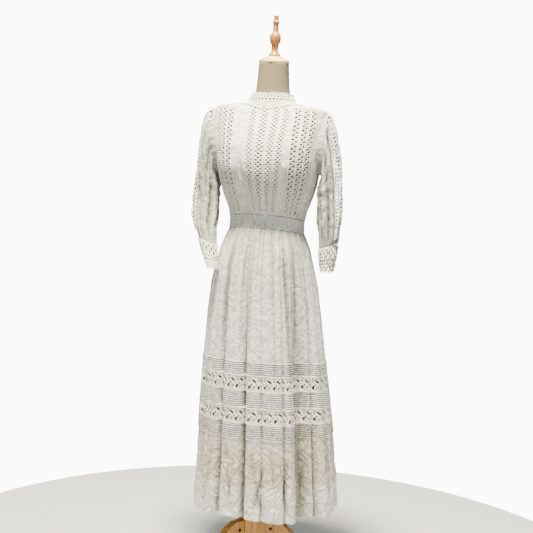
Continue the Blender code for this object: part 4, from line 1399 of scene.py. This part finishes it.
def makeCollar():
    margin = (0.0032, 0.5)
    rows = 240
    v = np.linspace(-margin[1], collar["repeats"] + margin[1], rows + 1) / collar["repeats"]
    angle = v * 2 * pi - pi / 2
    across = np.linspace(-margin[0], collar["width"] + margin[0], 17)
    level = collar["high"] - across / collar["width"] * (collar["high"] - collar["low"])
    side, front, back = along(collar["rings"], level[None, :])
    pucker = 0.0018 * softNoise(angle[:, None] * 9, level[None, :] * 60, 41)
    spots = onRing(side, front, back, angle[:, None], 0.0006 + pucker, level[None, :])
    sway = 0.0024 * softNoise(angle[:, None] * 5, 0 * level[None, :], 43)
    spots[..., 2] += sway * smooth(collar["low"], collar["high"], level[None, :])
    normals = gridNormals(spots, False)
    outward = np.stack([spots[..., 0], spots[..., 1], 0 * spots[..., 0]], axis=-1)
    normals = normals * np.sign((normals * outward).sum(-1, keepdims=True))
    obj = layLace("standCollar", collar, [(spots, normals)], collar["repeats"], margin)
    return finishPiece(obj, lace, "lace", "collar_left", "collar_right")


standCollar = makeCollar()

# The sleeves: rings of outer x and z, inner x and z, half depth and y, from the armhole to the cuff
leftArm = dict(
    side=1,
    cuffGap=0.0009,
    rings=[
        (0.1900, 1.4900, 0.1700, 1.2950, 0.0590, 0.000),
        (0.2050, 1.4500, 0.1660, 1.2640, 0.0600, 0.000),
        (0.2240, 1.3800, 0.1630, 1.2340, 0.0570, -0.002),
        (0.2350, 1.2900, 0.1620, 1.2000, 0.0530, -0.004),
        (0.2390, 1.2150, 0.1640, 1.1680, 0.0500, -0.008),
        (0.2410, 1.1560, 0.1670, 1.1320, 0.0500, -0.013),
        (0.2400, 1.1160, 0.1700, 1.1000, 0.0480, -0.017),
        (0.2350, 1.0900, 0.1720, 1.0740, 0.0440, -0.020),
    ],
    cuff=[
        (0.2350, 1.0900, 0.1720, 1.0740, 0.0440, -0.020),
        (0.2320, 1.0520, 0.1760, 1.0380, 0.0420, -0.023),
        (0.2250, 1.0080, 0.1830, 1.0060, 0.0390, -0.027),
    ],
)
rightArm = dict(
    side=-1,
    cuffGap=0.0015,
    rings=[
        (0.2020, 1.4880, 0.1700, 1.2950, 0.0590, 0.000),
        (0.2190, 1.4480, 0.1660, 1.2640, 0.0600, 0.000),
        (0.2310, 1.3780, 0.1630, 1.2360, 0.0570, -0.002),
        (0.2370, 1.2900, 0.1600, 1.2020, 0.0530, -0.006),
        (0.2380, 1.2150, 0.1590, 1.1680, 0.0500, -0.016),
        (0.2340, 1.1620, 0.1560, 1.1340, 0.0500, -0.032),
        (0.2230, 1.1280, 0.1510, 1.1030, 0.0480, -0.051),
        (0.2060, 1.0980, 0.1460, 1.0740, 0.0430, -0.066),
    ],
    cuff=[
        (0.2060, 1.0980, 0.1460, 1.0740, 0.0430, -0.066),
        (0.1880, 1.0560, 0.1390, 1.0380, 0.0380, -0.086),
        (0.1630, 1.0080, 0.1310, 1.0020, 0.0320, -0.104),
    ],
)


# One ring of an arm; turn 0 is the inner edge, a quarter the front and a half the outer edge
def armRing(ring, turn, side):
    outerX, outerZ, innerX, innerZ, depth, y = ring
    x = (innerX + outerX) / 2 + (innerX - outerX) / 2 * np.cos(turn)
    z = (innerZ + outerZ) / 2 + (innerZ - outerZ) / 2 * np.cos(turn)
    return withShoulders(np.stack([side * x, y - depth * np.sin(turn), z], axis=-1))


def armholeRing(turn, side):
    level = bodice["armMiddle"] - bodice["armHalf"] * np.cos(turn)
    halfAngle = radians(bodice["armReach"]) * np.sin(turn)
    ringSide, front, back = along(bodice["rings"], level)
    spots = onRing(ringSide, front, back, -halfAngle, 0.0, level)
    spots[..., 0] = side * (spots[..., 0] + gap)
    return withShoulders(spots)


# Rows of points through rings of points, each column by a smooth curve
def throughRings(rings, rows):
    rings = np.array(rings)
    steps = np.linalg.norm(np.diff(rings, axis=0), axis=-1).mean(axis=1)
    places = np.concatenate([[0.0], np.cumsum(steps)])
    table = np.concatenate([places[:, None], rings.reshape(len(rings), -1)], axis=1)
    at = rows * places[-1]
    return np.moveaxis(along(table, at), 0, -1).reshape(len(rows), rings.shape[1], 3), places[-1]


# The narrow lengthwise creases of a sleeve, from 0 to 1
def sleeveLines(side, share, angle):
    first = (0.5 + 0.5 * np.cos(7 * angle + 1.5 * np.sin(3 * share + side) + side)) ** 7
    second = (0.5 + 0.5 * np.cos(11 * angle - 2.0 * share + 2.0 * side)) ** 6
    return np.clip(first + 0.7 * second, 0, 1) * smooth(0.03, 0.16, share) * (1 - smooth(0.9, 1.0, share))


# How far gathers, soft folds and drag lines press a sleeve in
def sleeveInward(side, share, angle):
    head = (1 - smooth(0.0, 0.22, share)) * smooth(0.0, 0.02, share)
    end = smooth(0.72, 1.0, share)
    pinch = np.abs(np.sin(15 * (angle + 0.05 * np.sin(3 * angle + side)))) ** 0.8
    folds = 0.0046 * np.cos(5 * angle + 3 * share + side) + 0.0036 * np.cos(9 * angle - 3 * share)
    seed = 50 + side
    drag = 0.0028 * softNoise(angle * 3 + 9 * share, share * 13 - angle * 1.2, seed)
    drag = drag + 0.0014 * softNoise(angle * 7 - 6 * share, share * 24, seed + 7)
    lines = 0.0046 * sleeveLines(side, share, angle)
    return lines + (0.0030 * head + 0.0042 * end) * pinch + smooth(0.02, 0.14, share) * (1 - end) * (folds + drag)


# The sleeve's outer face at shares of its length and turns round it
def sleeveAt(arm, rows, turn, proud=0.0):
    side = arm["side"]
    rings = [armholeRing(turn, side)] + [armRing(ring, turn, side) for ring in arm["rings"]]
    spots, length = throughRings(rings, rows)
    normals = gridNormals(spots, False)
    normals = normals * np.sign((normals * (spots - arm["middles"](rows))).sum(-1, keepdims=True))
    inward = sleeveInward(side, rows[:, None], turn[None, :])
    return spots - normals * (inward[..., None] - proud), length


# The middle of a sleeve at shares of its length
def armMiddles(arm):
    turn = np.linspace(0, 2 * pi, 24, endpoint=False)
    rings = [armholeRing(turn, arm["side"])] + [armRing(ring, turn, arm["side"]) for ring in arm["rings"]]
    return lambda rows: throughRings(rings, rows)[0].mean(axis=1, keepdims=True)


for arm in (leftArm, rightArm):
    arm["middles"] = armMiddles(arm)

# Each sleeve has two broad strips of lace, one down its front and outer side and one down the back
sleeveLace = dict(
    columns=94,
    rows=108,
    shade=0.54,  # painted shade over the whole sleeve, for the shade under the shoulders and for the thin cloth that shows darker over nothing
    turns=(0.41, 0.66),
    first=0.04,
    last=0.955,
    around=0.055,  # metres round the sleeve for each radian
    width=0.0360,
    pitch=0.0135,
    cells=(20, 8),
    holes=[
        (0.0060, 0.0034, 0.0040, 0.0029, 38),
        (0.0140, 0.0101, 0.0040, 0.0029, -38),
        (0.0220, 0.0034, 0.0040, 0.0029, 38),
        (0.0300, 0.0101, 0.0040, 0.0029, -38),
    ],
    cords=[((x, 0.0), (x, 0.0135)) for x in (0.010, 0.018, 0.026)],
    scallops=2,
    scallopFirst=0.0018,
    scallopLast=0.0018,
    repeats=30,
)


def makeSleeve(name, arm, node):
    turn = np.linspace(0, 2 * pi, sleeveLace["columns"] + 1)
    rows = np.linspace(0, 1, sleeveLace["rows"] + 1)
    spots, length = sleeveAt(arm, rows, turn)
    spots[:, -1] = spots[:, 0]
    around = sleeveLace["around"]
    flat = np.stack(np.broadcast_arrays(turn[None, :] * around, rows[:, None] * length), axis=-1)
    middleRow, middleTurn = (rows[:-1, None] + rows[1:, None]) / 2, (turn[None, :-1] + turn[None, 1:]) / 2
    gone = np.zeros((len(rows) - 1, len(turn) - 1), dtype=bool)
    for laceTurn in sleeveLace["turns"]:
        near = np.abs(middleTurn - laceTurn * 2 * pi) * around < sleeveLace["width"] / 2 - 0.0035
        gone |= near & (middleRow > sleeveLace["first"]) & (middleRow < sleeveLace["last"])
    places = arm["side"], rows[:, None], turn[None, :]
    # painted shade: a base over the whole sleeve, deeper in its gathers, folds and lengthwise creases
    crease = 0.7 * np.clip(sleeveInward(*places) / 0.0090, 0, 1) ** 1.3 + 0.55 * sleeveLines(*places)
    crease = sleeveLace["shade"] + (1 - sleeveLace["shade"]) * np.clip(crease, 0, 1)
    obj = makeCloth(name, spots, flat, closed=True, keep=~gone, flip=arm["side"] > 0, crease=crease)
    addWall(obj, 0.0012)
    return finishPiece(obj, lawn, "lawn", node)


sleeveLeft = makeSleeve("sleeveLeft", leftArm, "sleeve_left")
sleeveRight = makeSleeve("sleeveRight", rightArm, "sleeve_right")


def makeSleeveLace(name, arm):
    margin = (0.0024, 0.3)
    width, repeats = sleeveLace["width"], sleeveLace["repeats"]
    v = np.linspace(-margin[1], repeats + margin[1], 181) / repeats
    rows = sleeveLace["first"] + v * (sleeveLace["last"] - sleeveLace["first"])
    across = (np.linspace(-margin[0], width + margin[0], 25) - width / 2) / sleeveLace["around"]
    carriers = []
    for laceTurn in sleeveLace["turns"]:
        spots, _ = sleeveAt(arm, rows, laceTurn * 2 * pi + across, 0.0009)
        normals = gridNormals(spots, False)
        normals = normals * np.sign((normals * (spots - arm["middles"](rows))).sum(-1, keepdims=True))
        carriers.append((spots, normals))
    obj = layLace(name, sleeveLace, carriers, repeats, margin)
    return finishPiece(obj, lace, "lace")


sleeveLaceLeft = makeSleeveLace("sleeveLaceLeft", leftArm)
sleeveLaceRight = makeSleeveLace("sleeveLaceRight", rightArm)

# Lace cuffs: rows of holes above a pointed edge
cuffLace = dict(
    width=0.0720,
    pitch=0.0180,
    cells=(34, 10),
    holes=[
        (0.0100, 0.0045, 0.0046, 0.0031, 30),
        (0.0195, 0.0135, 0.0050, 0.0034, -35),
        (0.0295, 0.0045, 0.0054, 0.0036, 35),
        (0.0395, 0.0135, 0.0050, 0.0034, -30),
        (0.0500, 0.0045, 0.0054, 0.0036, 30),
        (0.0605, 0.0135, 0.0052, 0.0034, -30),
        (0.0655, 0.0030, 0.0030, 0.0022, 0),
    ],
    scallops=1,
    pointed=True,
    scallopFirst=0.0,
    scallopLast=0.0080,
    repeats=12,
)


def makeCuff(name, arm, nodes):
    margin = (0.0084, 0.5)
    repeats = cuffLace["repeats"]
    v = np.linspace(-margin[1], repeats + margin[1], 181) / repeats
    turn = v * 2 * pi
    rings = [armRing(ring, turn, arm["side"]) for ring in arm["cuff"]]
    across = np.linspace(-margin[0], cuffLace["width"] + margin[0], 29) / cuffLace["width"]
    spots, length = throughRings(rings, np.clip(across, 0, 1))
    beyond = np.maximum(across - 1, 0) - np.maximum(-across, 0)
    spots[..., 2] -= beyond[:, None] * length + arm["cuffGap"]
    spots = np.swapaxes(spots, 0, 1)
    normals = gridNormals(spots, False)
    normals = normals * np.sign((normals * (spots - spots.mean(axis=0, keepdims=True))).sum(-1, keepdims=True))
    ripple = 0.0012 * softNoise(turn[:, None] * 4, across[None, :] * 6, 61 + arm["side"])
    # the sleeve is gathered into the cuff's top, so that this lies as deep as the gathers
    tuckedIn = 0.0034 * (1 - smooth(0.0, 0.14, across))
    spots = spots + normals * (ripple - tuckedIn[None, :])[..., None]
    obj = layLace(name, cuffLace, [(spots, normals)], repeats, margin)
    return finishPiece(obj, lace, "lace", *nodes)


cuffLeft = makeCuff("cuffLeft", leftArm, ("cuff_left_front", "cuff_left_back"))
cuffRight = makeCuff("cuffRight", rightArm, ("cuff_right_front", "cuff_right_back"))
print("lace dress: collar, sleeves and cuffs")


# The dress form: linen over a padded figure, closed at its base, with princess seams down it
form = dict(
    rings=[
        (0.860, 0.1380, 0.0960, 0.1120),
        (0.930, 0.1480, 0.1030, 0.1200),
        (1.000, 0.1430, 0.1030, 0.1130),
        (1.070, 0.1180, 0.0900, 0.0880),
        (1.145, 0.1080, 0.0830, 0.0770),
        (1.220, 0.1180, 0.0960, 0.0850),
        (1.290, 0.1350, 0.1180, 0.0950),
        (1.335, 0.1450, 0.1280, 0.1000),
        (1.390, 0.1540, 0.1120, 0.1030),
        (1.465, 0.1640, 0.0860, 0.0930),
        (1.4928, 0.1745, 0.0830, 0.0900),
        (1.5058, 0.1415, 0.0748, 0.0808),
        (1.5148, 0.1045, 0.0698, 0.0738),
        (1.5215, 0.0740, 0.0660, 0.0660),
        (1.540, 0.0600, 0.0560, 0.0580),
        (1.575, 0.0525, 0.0510, 0.0520),
        (1.650, 0.0475, 0.0475, 0.0475),
    ],
    top=1.650,
    leanFront=5.0,
    leanLeft=1.5,
    seams=(-90, -55, -125, 0, 180, 55, 90, 125),
)


def makeForm():
    angle = np.linspace(0, 2 * pi, 97)
    levels = np.concatenate([np.linspace(0.860, 1.48, 90, endpoint=False), np.linspace(1.48, 1.650, 44)])
    side, front, back = along(form["rings"], levels[:, None])
    seamDepth = creaseDepth([(s, 1.75, 0.80, 0.0016, 0.0012, 0) for s in form["seams"]], angle[None], levels[:, None], side)
    spots = onRing(side, front, back, angle[None, :], seamDepth + 0.0002, levels[:, None])
    share = smooth(1.58, form["top"], levels)[:, None]
    lean = spots[..., 1] * tan(radians(form["leanFront"])) - spots[..., 0] * tan(radians(form["leanLeft"]))
    spots[..., 2] += share * lean
    spots = withShoulders(spots, shoulder["formShare"])
    flat = np.stack(np.broadcast_arrays(angle[None, :] * 0.13, levels[:, None]), axis=-1)
    obj = makeCloth("formTorso", spots, flat, closed=True)
    mesh = bmesh.new()
    mesh.from_mesh(obj.data)
    layer = mesh.loops.layers.uv.verify()
    rims = [e for e in mesh.edges if e.is_boundary]
    for face in bmesh.ops.holes_fill(mesh, edges=rims, sides=0)["faces"]:
        face.smooth = False
        for loop in face.loops:
            loop[layer].uv = loop.vert.co.xy
    bmesh.ops.recalc_face_normals(mesh, faces=mesh.faces[:])
    mesh.to_mesh(obj.data)
    mesh.free()
    return finishPiece(obj, linen, "linen", "form_torso")


formTorso = makeForm()


# A turned piece: a profile of height and radius from top to bottom, spun and closed on its axis
def makeTurned(name, profile, sides, place, lean, material, slot, node):
    mesh = bmesh.new()
    angle = np.linspace(0, 2 * pi, sides, endpoint=False)
    rings = []
    for height, radius in profile:
        rings.append([mesh.verts.new((radius * cos(a), radius * sin(a), height)) for a in angle])
    for upper, lower in zip(rings, rings[1:]):
        for i in range(sides):
            k = (i + 1) % sides
            mesh.faces.new((lower[i], lower[k], upper[k], upper[i]))
    mesh.faces.new(rings[0])
    mesh.faces.new(rings[-1][::-1])
    bmesh.ops.recalc_face_normals(mesh, faces=mesh.faces[:])
    data = bpy.data.meshes.new(name)
    mesh.to_mesh(data)
    mesh.free()
    data.transform(Matrix.Translation(Vector(place) + shift) @ Euler(lean).to_matrix().to_4x4())
    data.shade_smooth()
    data.set_sharp_from_angle(angle=radians(50))
    return finishPiece(newObject(name, data), material, slot, node)


# Rounds a rough profile by a smooth curve between its points
def finer(profile, steps):
    profile = np.array(profile)
    place = np.concatenate([[0.0], np.cumsum(np.hypot(*np.diff(profile, axis=0).T))])
    table = np.column_stack([place, profile])
    at = np.concatenate([np.linspace(a, b, steps, endpoint=False) for a, b in zip(place, place[1:])] + [place[-1:]])
    return np.moveaxis(along(table, at), 0, -1)


cap = dict(
    profile=[(0.0210, 0.0170), (0.0200, 0.0230), (0.0150, 0.0330), (0.0120, 0.0400), (0.0080, 0.0480), (0.0020, 0.0490), (0.0, 0.0470)],
    low=1.6503,
)
finial = dict(
    profile=[
        (0.1250, 0.0065), (0.1235, 0.0078), (0.1100, 0.0080), (0.1070, 0.0112), (0.1035, 0.0118), (0.0995, 0.0090),
        (0.0750, 0.0094), (0.0680, 0.0150), (0.0590, 0.0182), (0.0460, 0.0172), (0.0330, 0.0118), (0.0200, 0.0105),
        (0.0100, 0.0135), (0.0025, 0.0195), (0.0, 0.0190),
    ],
)
capLean = (radians(form["leanFront"]), radians(form["leanLeft"]), 0.0)
capSpot = Vector((0, 0, cap["low"]))
finialSpot = capSpot + Euler(capLean).to_matrix() @ Vector((0, 0, 0.0213))
neckCap = makeTurned("neckCapTurned", finer(cap["profile"], 4), 72, capSpot, capLean, capWood, "turned_wood", "neck_cap")
finialTurned = makeTurned(
    "finialTurned", finer(finial["profile"], 5), 48, finialSpot, capLean, finialWood, "turned_wood", "finial"
)


for node, material in (("stand_pole", poleSteel), ("stand_hub", boardWood)):
    bpy.data.objects[node].material_slots[0].material = material
for number in (1, 2, 3):
    bpy.data.objects[f"stand_leg_{number}"].material_slots[0].material = boardWood
    bpy.data.objects[f"stand_bolt_{number}"].material_slots[0].material = boltSteel
print("lace dress: form and stand")


# A round pale floor before white, and soft studio lights: a strong one high above, a little in front and
# to the right, and weak ones from both sides. Behind the object the studio is brighter than its light.
studio = dict(floor="#dadad7", floorRadius=1.25, keyPower=565.0, fillPower=28.0, world=0.42, backdrop=12.0)
floorMesh = bpy.data.meshes.new("studioFloor")
corners = np.linspace(0, 2 * pi, 160, endpoint=False)
floorSpots = np.stack([np.cos(corners), np.sin(corners), 0 * corners], axis=-1) * studio["floorRadius"]
floorMesh.from_pydata(floorSpots.tolist(), [], [tuple(range(160))])
floor = newObject("studioFloor", floorMesh)
floorMaterial, floorTree, floorShader = newMaterial("matPaperFloor", Roughness=0.9)
floorShader.inputs["Base Color"].default_value = linear(studio["floor"])
floorMesh.materials.append(floorMaterial)


def addLight(name, spot, aim, size, power, colour):
    data = bpy.data.lights.new(name, "AREA")
    data.shape = "RECTANGLE"
    data.size, data.size_y = size
    data.energy = power
    data.color = linear(colour)[:3]
    light = newObject(name, data)
    light.location = spot
    light.rotation_euler = (Vector(aim) - Vector(spot)).to_track_quat("-Z", "Y").to_euler()
    return light


addLight("keyAbove", (-0.04, -0.80, 3.7), (0, 0, 1.0), (0.5, 0.5), studio["keyPower"], "#fff6e4")
addLight("fillFront", (-1.2, -3.6, 1.5), (0, 0, 0.8), (2.4, 2.4), studio["fillPower"], "#f2f8ff")
addLight("fillRight", (3.0, -1.4, 1.2), (0, 0, 0.8), (2.0, 2.4), studio["fillPower"] * 0.6, "#f2f8ff")
world = bpy.data.worlds.new("studioWorld")
world.use_nodes = True
sky = world.node_tree
seen = addNode(sky, "ShaderNodeLightPath")
strength = addNode(
    sky,
    "ShaderNodeMapRange",
    {"To Min": studio["world"], "To Max": studio["backdrop"]},
    {"Value": seen.outputs["Is Camera Ray"]},
)
sky.nodes["Background"].inputs["Color"].default_value = linear("#f4f8f6")
sky.links.new(strength.outputs[0], sky.nodes["Background"].inputs["Strength"])
bpy.context.scene.world = world

deps = bpy.context.evaluated_depsgraph_get()
total = 0
for piece in bpy.context.scene.objects:
    if piece.type == "MESH" and piece.data.users and not piece.hide_render:
        made = piece.evaluated_get(deps).to_mesh()
        count = sum(len(face.vertices) - 2 for face in made.polygons)
        total += count
        print("triangles", piece.name, count)
print("triangles in all", total)

print("lace dress: finished")
